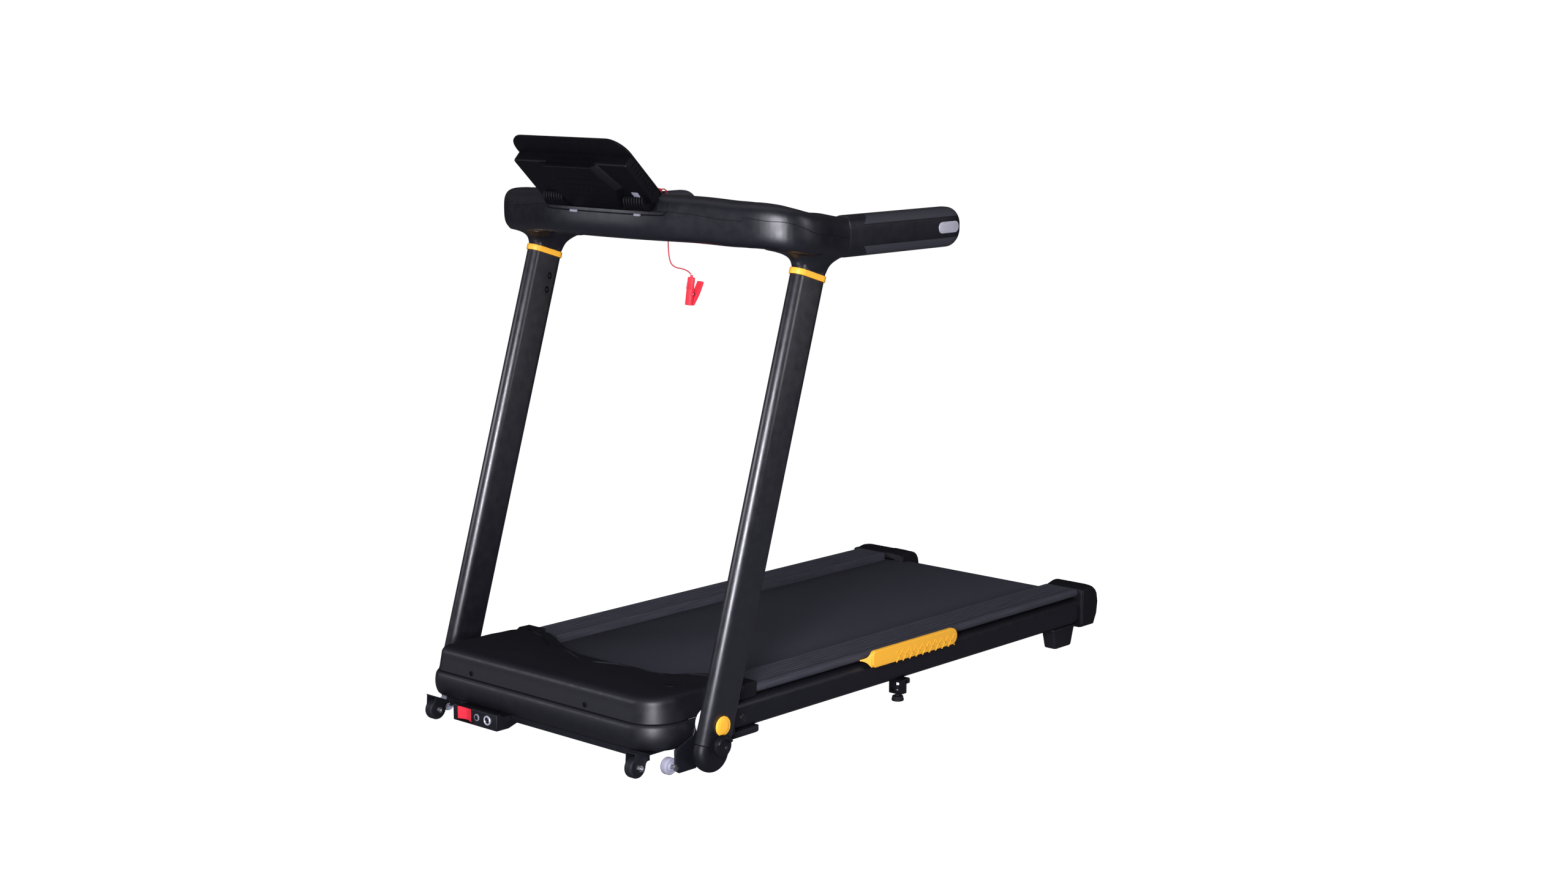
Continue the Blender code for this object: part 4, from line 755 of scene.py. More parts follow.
def rear_guard():
    """The left-hand end cap's wing over the roller end: a rounded roof and a wall behind the roller."""
    low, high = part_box("rear_end_cap_left")
    front, root = low[1], RAIL_INNER + 0.0045
    inner = smooth_route([(0.198, front, 0), (0.1925, 0.623, 0), (0.1845, 0.644, 0), (0.1788, 0.66, 0),
                          (0.1778, 0.669, 0), (0.184, 0.6748, 0)], 0.003)
    plan = [(root, front)] + [(p.x, p.y) for p in inner] + [(root, 0.6758)]
    bm = bmesh.new()
    rings = []
    for z, share in ((0.1052, 0.02), (0.1056, 0.0), (0.108, 0.0), (0.111, 0.03), (0.114, 0.08),
                     (0.1168, 0.16), (0.1192, 0.27), (0.1212, 0.4), (0.1226, 0.56), (0.1232, 0.72)):
        ring = []
        for x, y in plan:
            move = share * (0.35 if y < front + 0.004 else 1.0)
            fall = 0.003 * share if y < front + 0.004 else 0.0
            ring.append(Vector((-x - (root - x) * move, y + (0.642 - y) * move, z - fall)))
        rings.append(ring)
    loft(bm, rings)
    wall = [(root, 0.6592), (0.179, 0.6592), (0.178, 0.668), (0.1842, 0.6746), (root, 0.6756)]
    slab(bm, wall, 0.0602, 0.106, lambda a, b, z: Vector((-a, b, z)))
    finish("end_cap_guard", bm, "foot_cap", "base", merge=False, sharp=34)


def running_belt():
    """The belt's whole loop, with softened edges."""
    low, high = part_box("running_belt")
    half, top, bottom = high[0], high[2], low[2]
    radius = (top - bottom) / 2
    middle_z = (top + bottom) / 2
    rear, front = high[1] - radius, low[1] + radius
    thick = 0.0017

    def loop(r):
        straight = [rear + (front - rear) * k / 60 for k in range(1, 60)]
        return (arc((rear, middle_z), r, -90, 90, 28) + [(y, middle_z + r) for y in straight]
                + arc((front, middle_z), r, 90, 270, 28) + [(y, middle_z - r) for y in reversed(straight)])
    edges = [(radius - thick, half), (radius - 0.0006, half), (radius, half - 0.0006)]
    edges += [(r, -x) for r, x in reversed(edges)]
    bm = bmesh.new()
    loft(bm, [[Vector((x, y, z)) for y, z in loop(r)] for r, x in edges], closed=True)
    finish("belt_surface", bm, "belt", "base", ["running_belt"], sharp=50)


def level_feet():
    """A small folded bracket on each side, with a screw-down foot and its lock nut."""
    for side, _ in SIDES:
        low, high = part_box(f"level_foot_bracket_{side}")
        at = centre(f"level_foot_bracket_{side}")
        wide = (high[0] - low[0]) / 2
        front, rear, bottom, top = low[1], low[1] + 0.02, low[2], high[2]
        bm = bmesh.new()
        sheet = 0.0025
        within = wide - sheet * 0.5
        for low_z, high_z, radius, left, right in (
                (bottom, top, 0.0015, -wide, -wide + sheet), (bottom, top, 0.0015, wide - sheet, wide),
                (bottom, bottom + 0.0045, 0.001, -within, within),
                (top - 0.003, top, 0.001, -within, within)):
            slab(bm, rounded_rectangle((front, low_z), (rear, high_z), radius, 3), left, right,
                 lambda y, z, depth: Vector((at.x + depth, y, z)))
        slab(bm, rounded_rectangle((-wide, top - 0.0107), (wide, top), 0.002, 3), rear - 0.003, high[1],
             lambda x, z, depth: Vector((at.x + x, depth, z)))
        finish(f"level_bracket_{side}", bm, "frame", "base", [f"level_foot_bracket_{side}"], sharp=30)
        low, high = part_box(f"level_foot_{side}")
        at = centre(f"level_foot_{side}")
        bm = bmesh.new()
        profile = [(0, 0), (0.0112, 0), (0.012, 0.0008), (0.012, 0.0042), (0.0112, 0.0052), (0.0108, 0.009),
                   (0.01, 0.0096), (0.0052, 0.0098), (0.0052, 0.012), (0.0038, 0.0122)]
        for k in range(10):
            z = 0.0128 + k * 0.0016
            profile += [(0.0038, z), (0.0033, z + 0.0008)]
        profile += [(0.0036, 0.0296), (0, 0.03)]
        dome(bm, profile, facing_z(at.x, at.y, low[2]), 36)
        finish(f"screw_foot_{side}", bm, "rubber", f"level_foot_{side}", [f"level_foot_{side}"], sharp=30)
        bm = bmesh.new()
        hex_head(bm, facing_z(at.x, at.y, 0.0195), 0.007, 0.0, 0.0042)
        finish(f"lock_nut_{side}", bm, "steel", "base", bevel=0.0005, segments=2)


def wheels():
    """Front wheels in their forks, and the floor rollers the folded machine stands on."""
    for side, sign in SIDES:
        at = centre(f"front_wheel_{side}")
        bm = bmesh.new()
        profile = [(0.0042, 0.009), (0.0068, 0.009), (0.0074, 0.0078), (0.011, 0.0072), (0.0118, 0.0088),
                   (0.0164, 0.009), (0.0176, 0.0086), (0.0188, 0.0074), (0.0195, 0.0056), (0.0195, 0.0014),
                   (0.0192, 0.001)]
        profile += [(r, -h) for r, h in reversed(profile)]
        turned(bm, profile, facing_x(1.0, at.x, at.y, at.z), 56)
        finish(f"wheel_tyre_{side}", bm, "tyre", f"front_wheel_{side}", [f"front_wheel_{side}"], sharp=34)
        inner, sheet = 0.0105, 0.0022

        def across(y, z, depth, at=at):
            return Vector((at.x + depth, y, z))
        leg = (arc((at.y, 0.018), 0.0118, 180, 345, 16)
               + [(-0.6445, 0.0262), (-0.64, 0.029), (-0.64, 0.0344), (-0.6704, 0.0482)])
        bm = bmesh.new()
        for a, b in ((-inner - sheet, -inner), (inner, inner + sheet)):
            slab(bm, leg, a, b, across)
        roof = [(-0.6398, 0.0322), (-0.6398, 0.0345), (-0.6704, 0.0484), (-0.6722, 0.047)]
        slab(bm, roof, -inner - sheet - 0.0001, inner + sheet + 0.0001, across)
        finish(f"fork_{side}", bm, "frame", "base", [f"wheel_fork_{side}"], bevel=0.0006, segments=2,
               sharp=30)
        bm = bmesh.new()
        out = inner + sheet
        place = facing_x(sign, abs(at.x), at.y, at.z)
        dome(bm, [(0, -out - 0.007), (0.0026, -out - 0.007), (0.0032, -out - 0.0062), (0.0032, out + 0.0082),
                  (0.0026, out + 0.009), (0, out + 0.009)], place, 24)
        hex_head(bm, place, 0.0065, out + 0.0002, out + 0.0045)
        hex_head(bm, place, 0.006, -out - 0.004, -out - 0.0002)
        dome(bm, [(0, out + 0.004), (0.0044, out + 0.004), (0.0044, out + 0.0064), (0.0038, out + 0.0068),
                  (0, out + 0.0068)], place, 24)
        finish(f"wheel_bolt_{side}", bm, "steel", "base", bevel=0.0004, segments=2, sharp=30)
        roller = centre(f"floor_roller_{side}")
        bm = bmesh.new()
        profile = [(0.0042, 0.009), (0.0074, 0.009), (0.008, 0.0082), (0.0088, 0.0072), (0.0112, 0.007),
                   (0.0122, 0.0076), (0.014, 0.007), (0.0152, 0.0054), (0.0155, 0.003), (0.0155, 0.0008)]
        profile += [(r, -h) for r, h in reversed(profile)]
        turned(bm, profile, facing_x(1.0, roller.x, roller.y, roller.z), 48)
        finish(f"transport_roller_{side}", bm, "grey", f"floor_roller_{side}", [f"floor_roller_{side}"],
               sharp=34)


PIVOT_PLATE = (0.3125, 0.3175)  # its two faces, out from the middle of the machine


def pivot_brackets():
    """Each side's pivot plate, with the washer, the bolt and the floor roller's axle."""
    for side, sign in SIDES:
        roller = centre(f"floor_roller_{side}")
        outline = [(-0.6065, 0.047), (-0.6065, 0.0095), (-0.598, 0.0032), (-0.556, 0.003), (-0.52, 0.03),
                   (-0.455, 0.044), (-0.455, 0.097)]
        outline += arc((PIVOT_Y, PIVOT_Z), 0.02, 40, 180, 20) + [(-0.562, 0.064)]
        bm = bmesh.new()
        slab(bm, outline, *PIVOT_PLATE, lambda y, z, depth: Vector((sign * depth, y, z)))
        finish(f"pivot_plate_{side}", bm, "frame", "base", [f"pivot_bracket_{side}"], bevel=0.001, sharp=30)
        bm = bmesh.new()
        dome(bm, [(0, 0.3176), (0.0232, 0.3176), (0.024, 0.3184), (0.024, 0.3302), (0.0232, 0.331),
                  (0, 0.331)], facing_x(sign, 0.0, PIVOT_Y, PIVOT_Z), 48)
        finish(f"pivot_washer_{side}", bm, "washer", "base")
        bm = bmesh.new()
        place = facing_x(sign, 0.0, roller.y, roller.z)
        dome(bm, [(0, 0.2885), (0.003, 0.2885), (0.0035, 0.2892), (0.0035, 0.318), (0.003, 0.3186),
                  (0, 0.3186)], place, 24)
        hex_head(bm, place, 0.0062, 0.2864, 0.2908)
        hex_head(bm, place, 0.0066, 0.3176, 0.319)
        finish(f"roller_axle_{side}", bm, "steel", "base", bevel=0.0004, segments=2, sharp=30)
        bm = bmesh.new()
        dome(bm, [(0, 0.3312), (0.008, 0.3312), (0.008, 0.3596), (0.007, 0.36), (0, 0.36)],
             facing_x(sign, 0.0, PIVOT_Y, PIVOT_Z), 32)
        finish(f"pivot_bolt_{side}", bm, "steel", "base")


# ---------------------------------------------------------------- hood
HOOD_LOW, HOOD_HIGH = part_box("hood_top_cover")
HOOD_FRONT = HOOD_LOW[1]
HOOD_HALF_WIDTH = HOOD_HIGH[0]
HOOD_SEAM = HOOD_LOW[2]
HOOD_CORNERS = (0.025, 0.064)  # left, right
HOOD_SKIN = 0.0025
HOOD_DRAFT = 0.0055


def hood_front(side_points):
    """The hood's plan from its right wall round the front to its left wall."""
    halves = []
    for corner in HOOD_CORNERS:
        bend = arc((HOOD_HALF_WIDTH - corner, HOOD_FRONT + corner), corner, 0, -90, 20)
        halves.append(side_points + bend + [(x / 100.0, HOOD_FRONT) for x in range(22, 0, -2)])
    left, right = halves
    return right + [(0.0, HOOD_FRONT)] + [(-x, y) for x, y in reversed(left)]


def roof_height(x, y):
    """The hood's roof falls towards the rear, sooner in the middle than at the sides."""
    middle = blend([(-0.63, 0.1345), (-0.565, 0.1385), (-0.505, 0.1355), (-0.455, 0.118)], y)
    side = blend([(-0.63, 0.1345), (-0.56, 0.1375), (-0.47, 0.134), (-0.395, 0.126)], y)
    share = blend([(0.12, 0.0), (0.225, 1.0)], abs(x))
    return middle + (side - middle) * share


def offset_loop(points, distance):
    """Move a closed plan inwards by a distance, along its own normals."""
    count = len(points)
    moved = []
    for i in range(count):
        before, after = Vector(points[i - 1]), Vector(points[(i + 1) % count])
        along = (after - before).normalized()
        moved.append((points[i][0] + along.y * distance, points[i][1] - along.x * distance))
    return moved


def rear_kept(outline, inner):
    """Let an inset fade along the rear arc, so that the rim there stays on its plan."""
    kept = []
    for (x, y), (px, py) in zip(outline, inner):
        along = min(1.0, max(0.0, (y + 0.49) / 0.02))
        across = min(1.0, max(0.0, (0.25 - abs(x)) / 0.02))
        weight = 1.0 - 0.72 * along * across
        kept.append((x + (px - x) * weight, y + (py - y) * weight))
    return kept


def hood_top():
    """The hood's cover: drafted walls, a rounded upper edge and a falling roof, as a thin skin."""
    rear_side, rear_middle = -0.3985, -0.459
    walls = [(HOOD_HALF_WIDTH, -0.418 - 0.006 * k) for k in range(1, 16)]
    rear_stops = [(0.0, rear_middle), (0.05, rear_middle + 0.0025), (0.1, rear_middle + 0.0115),
                  (0.14, rear_middle + 0.0215), (0.17, rear_middle + 0.032), (0.2, rear_middle + 0.0445),
                  (0.222, rear_side - 0.0065), (0.236, rear_side - 0.001), (0.262, rear_side)]
    rear = [(p.x, p.y) for p in smooth_route([(x, y, 0) for x, y in rear_stops], 0.007)[1:]]
    shoulder = arc((HOOD_HALF_WIDTH - 0.02, rear_side - 0.02), 0.02, 90, 0, 10)
    outline = hood_front(rear + shoulder + walls) + [(0.0, rear_middle)]

    def rim(x, y):
        if abs(x) > 0.25 and y < -0.505 or y < -0.55:
            return HOOD_SEAM
        return 0.12 if y > -0.42 else 0.1075 if abs(x) < 0.2245 or y > -0.47 else 0.101
    middle = Vector((0.0, -0.53))
    area = sum(a[0] * b[1] - b[0] * a[1] for a, b in zip(outline, outline[1:] + outline[:1]))
    turn = 1.0 if area > 0 else -1.0
    bm = bmesh.new()
    rows = []
    radius = 0.015
    levels = [(HOOD_DRAFT * share, share, None) for share in (0.0, 0.05, 0.35, 0.7, 0.95)]
    levels += [(HOOD_DRAFT + radius * (1 - math.cos(math.radians(a))), None,
                radius * (1 - math.sin(math.radians(a)))) for a in (8, 20, 35, 50, 65, 80, 90)]
    for inset, share, drop in levels:
        loop = rear_kept(outline, offset_loop(outline, -inset * turn))
        row = []
        for (x, y), (px, py) in zip(outline, loop):
            top = roof_height(px, py)
            low = rim(x, y)
            if share is not None:
                z = low + (max(top - radius, low + 0.001) - low) * share
            else:
                z = max(top - drop, low + 0.0012)
            row.append(bm.verts.new((px, py, z)))
        rows.append(row)
    last = rear_kept(outline, offset_loop(outline, -(HOOD_DRAFT + radius) * turn))
    for scale in (0.97, 0.93, 0.87, 0.79, 0.7, 0.6, 0.49, 0.37, 0.25, 0.12):
        row = []
        for x, y in last:
            flat = middle + (Vector((x, y)) - middle) * scale
            row.append(bm.verts.new((flat.x, flat.y, roof_height(flat.x, flat.y))))
        rows.append(row)
    count = len(outline)
    for lower, upper in zip(rows, rows[1:]):
        for i in range(count):
            bm.faces.new((lower[i], lower[(i + 1) % count], upper[(i + 1) % count], upper[i]))
    peak = bm.verts.new((0.0, middle.y, roof_height(0.0, middle.y)))
    for i in range(count):
        bm.faces.new((rows[-1][i], rows[-1][(i + 1) % count], peak))
    bmesh.ops.recalc_face_normals(bm, faces=bm.faces)
    cover = finish("hood_cover", bm, "hood", "base", ["hood_top_cover"], sharp=60)
    skin = cover.modifiers.new("skin", "SOLIDIFY")
    skin.thickness = HOOD_SKIN
    skin.offset = -1.0
    bake(cover)


def hood_lower():
    """The bulging skirt under the hood's seam, the two recessed screws and the plug in the roof."""
    stops = [(0.0, HOOD_SEAM - 0.0006), (0.0045, 0.0815), (0.0065, 0.068), (0.0055, 0.056), (0.0015, 0.0455),
             (-0.006, 0.0402), (-0.013, 0.0385)]
    profile = [(p.x, p.y) for p in smooth_route([(out, z, 0) for out, z in stops], 0.0022)]
    path = hood_front([(HOOD_HALF_WIDTH, -0.51), (HOOD_HALF_WIDTH, -0.525), (HOOD_HALF_WIDTH, -0.54)])
    bm = bmesh.new()
    rows = []
    for out, z in profile:
        row = []
        for i, (x, y) in enumerate(path):
            before, after = Vector(path[max(i - 1, 0)]), Vector(path[min(i + 1, len(path) - 1)])
            heading = (after - before).normalized()
            row.append(bm.verts.new((x + heading.y * -out, y + heading.x * out, z)))
        rows.append(row)
    for lower, upper in zip(rows, rows[1:]):
        for i in range(len(path) - 1):
            bm.faces.new((lower[i], lower[i + 1], upper[i + 1], upper[i]))
    cover = finish("hood_skirt", bm, "hood", "base", ["hood_lower_cover"], sharp=60)
    skin = cover.modifiers.new("skin", "SOLIDIFY")
    skin.thickness = HOOD_SKIN
    skin.offset = 0.0
    bake(cover)
    for index, x in enumerate((-0.19, 0.12)):
        place = facing_y(x, HOOD_FRONT + 0.0012, 0.098)
        bm = bmesh.new()
        turned(bm, [(0.004, 0.0), (0.0056, 0.0), (0.0054, 0.0006), (0.0042, 0.0006)], place, 32)
        finish(f"hood_screw_seat_{index}", bm, "hood", "base")
        # A dark disc of painted shade stands in for the screw hole.
        hole = solid(dome, [(0, -0.0008), (0.004, -0.0008), (0.004, 0.0002), (0, 0.0002)], place, 32)
        finish(f"hood_screw_{index}", hole, "painted_shade", "base")
    lift = Vector((0.239, -0.539, roof_height(0.239, -0.539)))
    bm = bmesh.new()
    dome(bm, [(0, -0.002), (0.0118, -0.002), (0.0118, 0.0002), (0.0112, 0.0007), (0.01, 0.0009),
              (0.0092, 0.0004), (0, 0.0005)], facing_z(*lift), 48)
    finish("hood_plug", bm, "foot_cap", "base")


# ---------------------------------------------------------------- power box and pad
def power_box():
    """The mains box: rocker in its frame, reset button and inlet."""
    low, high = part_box("power_box")
    front = -0.665
    outline = [(front, low[2]), (front + 0.03, low[2]), (-0.592, 0.024), (-0.6304, 0.024),
               (-0.6304, 0.036), (-0.649, 0.0366), (-0.6535, high[2]), (front, high[2])]
    bm = bmesh.new()
    slab(bm, outline, low[0], high[0], lambda y, z, depth: Vector((depth, y, z)))
    case = finish("switch_box", bm, "hood", "base", ["power_box"], bevel=0.0014, sharp=30)
    rocker = centre("power_rocker")
    bm = bmesh.new()
    slab(bm, rounded_rectangle((-0.019, -0.0132), (0.019, 0.0132), 0.002), -0.012, 0.012,
         facing_y(rocker.x, front, rocker.z, 1.0))
    boolean(case, loose(bm))
    button = centre("breaker_button")
    boolean(case, loose(solid(dome, [(0, -0.016), (0.0046, -0.016), (0.0046, 0.004), (0, 0.004)],
                              facing_y(button.x, front, button.z), 32)))
    case.data.shade_smooth()
    case.data.set_sharp_from_angle(angle=math.radians(30))
    bm = bmesh.new()
    frame_outline = [rounded_rectangle((-w, -h), (w, h), r) for w, h, r in
                     ((0.0214, 0.0152, 0.003), (0.0206, 0.0144, 0.0026), (0.0188, 0.0128, 0.0016),
                      (0.0188, 0.0128, 0.0016))]
    loft(bm, [[Vector((rocker.x + a, front - depth, rocker.z + b)) for a, b in ring]
              for ring, depth in zip(frame_outline, (0.0, 0.0011, 0.0013, 0.0))], closed=True)
    finish("rocker_frame", bm, "console", "base", sharp=30)
    bm = bmesh.new()
    rings = []
    for k in range(13):
        x = -0.018 + 0.036 * k / 12
        lift = 0.0052 * abs(x / 0.018) ** 1.4
        ring = [(0.0, -0.0118), (0.0006, -0.012), (0.009 + lift - 0.0052, -0.012),
                (0.01 + lift - 0.0052, -0.0112), (0.0102 + lift - 0.0052, 0.0),
                (0.01 + lift - 0.0052, 0.0112), (0.009 + lift - 0.0052, 0.012), (0.0006, 0.012),
                (0.0, 0.0118)]
        rings.append([Vector((rocker.x + x, front + 0.0075 - depth, rocker.z + z)) for depth, z in ring])
    loft(bm, rings)
    finish("rocker_cap", bm, "red", "power_rocker", ["power_rocker"], sharp=40)
    bm = bmesh.new()
    turned(bm, [(0.0047, -0.001), (0.0068, -0.001), (0.0068, 0.001), (0.006, 0.0018), (0.0047, 0.0018)],
           facing_y(button.x, front, button.z), 32)
    finish("breaker_ring", bm, "button", "base", sharp=30)
    bm = bmesh.new()
    dome(bm, [(0, -0.007), (0.0042, -0.007), (0.0042, 0.002), (0.0036, 0.0029), (0.002, 0.003), (0, 0.0028)],
         facing_y(button.x, front, button.z), 32)
    finish("breaker_cap", bm, "hood", "breaker_button", ["breaker_button"], sharp=40)
    inlet_x, inlet_z = -0.115, 0.028
    bm = bmesh.new()
    turned(bm, [(0.0062, -0.001), (0.0092, -0.001), (0.0092, 0.0018), (0.0084, 0.0026), (0.0068, 0.0026),
                (0.0062, 0.0018)], facing_y(inlet_x, front, inlet_z), 40)
    finish("inlet_ring", bm, "sensor", "base", sharp=34)
    # A dark disc of painted shade stands in for the inside of the inlet.
    bm = bmesh.new()
    dome(bm, [(0, -0.0004), (0.0063, -0.0004), (0.0063, 0.0004), (0, 0.0004)],
         facing_y(inlet_x, front, inlet_z), 32)
    finish("inlet_floor", bm, "painted_shade", "base")
    bm = bmesh.new()
    for a, b in ((-0.0026, -0.0014), (0.0026, -0.0014), (0.0, 0.0026)):
        dome(bm, [(0, 0.0002), (0.0008, 0.0002), (0.0008, 0.0014), (0.0004, 0.0018), (0, 0.0018)],
             lambda u, v, h, a=a, b=b: Vector((inlet_x + a + u, front - h, inlet_z + b + v)), 14)
    finish("inlet_pins", bm, "steel", "base")


def side_pad():
    """A long yellow hand pad with a crossed tread on its rear part."""
    low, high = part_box("side_pad")
    low_z, high_z, start, end = low[2], high[2], -0.084, high[1]
    radius = (high_z - low_z) / 2
    inner_x, outer_x = high[0] - 0.0105, high[0]
    outline = (arc((end - radius, low_z + radius), radius, -90, 90, 24)
               + arc((start + 0.01, high_z - 0.01), 0.01, 90, 180, 8)
               + arc((start + 0.01, low_z + 0.01), 0.01, 180, 270, 8))
    bm = bmesh.new()
    slab(bm, outline, inner_x, outer_x, lambda y, z, depth: Vector((depth, y, z)))
    neck = []
    for x, front, rear, lo, hi in ((0.3067, -0.098, -0.06, 0.1038, 0.1066),
                                   (0.3105, -0.0955, -0.055, 0.1034, 0.1074),
                                   (0.314, -0.093, -0.05, 0.1022, 0.1088),
                                   (0.317, -0.09, -0.047, 0.1, 0.1112),
                                   (0.3195, -0.0868, -0.045, 0.0966, 0.115),
                                   (0.3215, -0.0845, -0.043, 0.093, 0.1195),
                                   (0.3232, -0.0835, -0.04, 0.0915, 0.1218)):
        neck.append([Vector((x, y, z)) for y, z in rounded_rectangle((front, lo), (rear, hi), 0.0012, 5)])
    finish("hand_pad", bm, "yellow", "base", ["side_pad"], bevel=0.0024, segments=5, sharp=40)
    finish("hand_pad_neck", solid(loft, neck), "yellow", "base", sharp=40)
    bm = bmesh.new()
    half_z, middle_z = 0.0108, low_z + radius - 0.0068
    pitch, bar, first = 0.02, 0.0022, -0.005
    for k in range(9):
        y = first + k * pitch
        for slope in (-1, 1):
            rise = half_z * slope
            ends = [(y - 0.01, middle_z - rise), (y + 0.01, middle_z + rise)]
            along = (Vector(ends[1]) - Vector(ends[0])).normalized()
            side = Vector((-along.y, along.x)) * bar / 2
            quad = [Vector(ends[0]) - side, Vector(ends[1]) - side, Vector(ends[1]) + side,
                    Vector(ends[0]) + side]
            slab(bm, [(p.x, p.y) for p in quad], outer_x - 0.0006, outer_x + 0.0009,
                 lambda a, b, depth: Vector((depth, a, b)))
    finish("hand_pad_tread", bm, "yellow", "base", bevel=0.0003, segments=2, sharp=40, merge=False)


# ---------------------------------------------------------------- folding uprights
def upright_point(along, across=0.0):
    """(Y, Z) of a place along the leaning uprights, measured from the pivot."""
    return (PIVOT_Y + along * math.sin(LEAN) + across * math.cos(LEAN),
            PIVOT_Z + along * math.cos(LEAN) - across * math.sin(LEAN))


def upright_place(sign):
    """From (across depthwise, out sideways, along) to the world."""
    def place(across, side, along):
        y, z = upright_point(along, across)
        return Vector((sign * (UPRIGHT_X + side), y, z))
    return place


def uprights():
    """Oval tubes, each with its foot cover, collar, pivot badge and neck screws."""
    half = UPRIGHT_WIDTH / 2
    for side, sign in SIDES:
        place = upright_place(sign)
        bm = bmesh.new()
        low, high = FOOT_AT + GAP, COLLAR_AT + 0.02
        rings = []
        for along, inset in ((low, 0.001), (low + 0.0004, 0.0004), (low + 0.0012, 0.0), (high - 0.001, 0.0),
                             (high, 0.0004)):
            section = stadium(UPRIGHT_DEPTH - 2 * inset, UPRIGHT_WIDTH - 2 * inset, 26)
            rings.append([place(a, b, along) for a, b in section])
        loft(bm, rings)
        finish(f"upright_tube_{side}", bm, "upright", "upright_frame", [f"upright_{side}"], sharp=50)

        radius = UPRIGHT_DEPTH / 2
        bm = bmesh.new()
        rings = []
        for drop, squeeze in ((0.0, 0.0008), (0.0006, 0.0002), (0.0014, 0.0), (0.006, 0.0), (0.011, 0.0),
                              (0.016, 0.0003), (0.02, 0.0006), (0.024, 0.0011), (0.028, 0.0018),
                              (0.031, 0.0027), (0.0335, 0.0038), (0.0355, 0.0053), (0.037, 0.0068),
                              (0.038, 0.0084), (0.0388, 0.0105)):
            depth = 2 * math.sqrt(max(radius ** 2 - drop ** 2, 0.0001 ** 2))
            wide = 2 * (half - squeeze)
            if drop == 0:
                section = stadium(max(depth - 2 * squeeze, wide + 0.0005), wide, 26)
                rings.append([place(a, b, FOOT_AT) for a, b in section])
                rings.append([place(a, b, FOOT_AT - squeeze) for a, b in stadium(2 * radius, 2 * half, 26)])
            else:
                section = stadium(max(depth, wide + 0.0005), wide, 26)
                rings.append([place(a, b, FOOT_AT - FOOT_CAP_SKIRT - drop) for a, b in section])
        loft(bm, rings)
        finish(f"foot_cover_{side}", bm, "foot_cap", "upright_frame", [f"foot_cap_{side}"], sharp=40)

        bm = bmesh.new()
        low_c, high_c = COLLAR_AT - 0.0055, COLLAR_AT + 0.0055
        rings = []
        for grow, along in ((0.0003, low_c), (0.0017, low_c), (0.0023, low_c + 0.0004),
                            (0.0025, low_c + 0.0012), (0.0025, high_c - 0.0012), (0.0023, high_c - 0.0004),
                            (0.0017, high_c), (0.0003, high_c)):
            section = stadium(UPRIGHT_DEPTH + 2 * grow, UPRIGHT_WIDTH + 2 * grow, 26)
            rings.append([place(a, b, along) for a, b in section])
        loft(bm, rings, closed=True)
        finish(f"collar_band_{side}", bm, "yellow", "upright_frame", [f"collar_{side}"], sharp=50)

        face = UPRIGHT_X + half
        bm = bmesh.new()
        dome(bm, [(0, 0.0003), (0.0172, 0.0003), (0.018, 0.001), (0.018, 0.002), (0.0174, 0.0032),
                  (0.0162, 0.004), (0.015, 0.0041), (0.0146, 0.0038), (0.0142, 0.0041), (0.008, 0.0045),
                  (0, 0.0046)], facing_x(sign, face, PIVOT_Y, PIVOT_Z), 64)
        finish(f"pivot_badge_{side}", bm, "yellow", "upright_frame", [f"pivot_cap_{side}"], sharp=40)

        # The neck screws wear the painted-shade look, which stands in for the shaded oval holes they sit in.
        for index, along in enumerate((0.765, 0.737)):
            y, z = upright_point(along, 0.0135)
            screw(f"neck_screw_{side}_{index}", lambda a, b, depth, y=y, z=z:
                  Vector((sign * (UPRIGHT_X - half - depth + 0.0004), y + a, z + b * 1.3)), 0.0056,
                  "upright_frame", look="painted_shade", height=0.001)


def knobs():
    """Lock knobs: a round body with a raised thumb wing and an off-centre screw."""
    for side, sign in SIDES:
        low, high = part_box(f"lock_knob_{side}")
        at = centre(f"lock_knob_{side}")
        base = min(abs(low[0]), abs(high[0]))
        thick = abs(high[0] - low[0])
        place = facing_x(sign, base, at.y, at.z + 0.002)
        bm = bmesh.new()
        dome(bm, [(0, 0.0), (0.01, 0.0), (0.0104, 0.0036), (0.0186, 0.0046), (0.0196, 0.0056), (0.0198, 0.01),
                  (0.019, 0.0118), (0.0172, 0.0126), (0.012, 0.0122), (0, 0.0118)], place, 56)
        finish(f"knob_body_{side}", bm, "foot_cap", f"lock_knob_{side}", [f"lock_knob_{side}"], sharp=40)
        bm = bmesh.new()
        outline = arc((0, 0), 0.02, 18, 162, 26) + arc((0, -0.001), 0.0128, 158, 22, 22)
        rings = []
        for depth, shrink in ((0.0105, 0.0), (0.015, 0.0), (0.0168, 0.0008), (0.0176, 0.0022)):
            middle = Vector((0, 0.0165))
            ring = []
            for a, b in outline:
                out = Vector((a, b)) - middle
                ring.append(Vector((a, b)) - out.normalized() * min(shrink, out.length * 0.5))
            rings.append([place(p.x, p.y, depth) for p in ring])
        loft(bm, rings)
        finish(f"knob_wing_{side}", bm, "foot_cap", f"lock_knob_{side}", sharp=40)
        screw(f"knob_screw_{side}", facing_x(sign, base + 0.0119, at.y + 0.0062, at.z - 0.0022), 0.0042,
              f"lock_knob_{side}", height=0.0022)


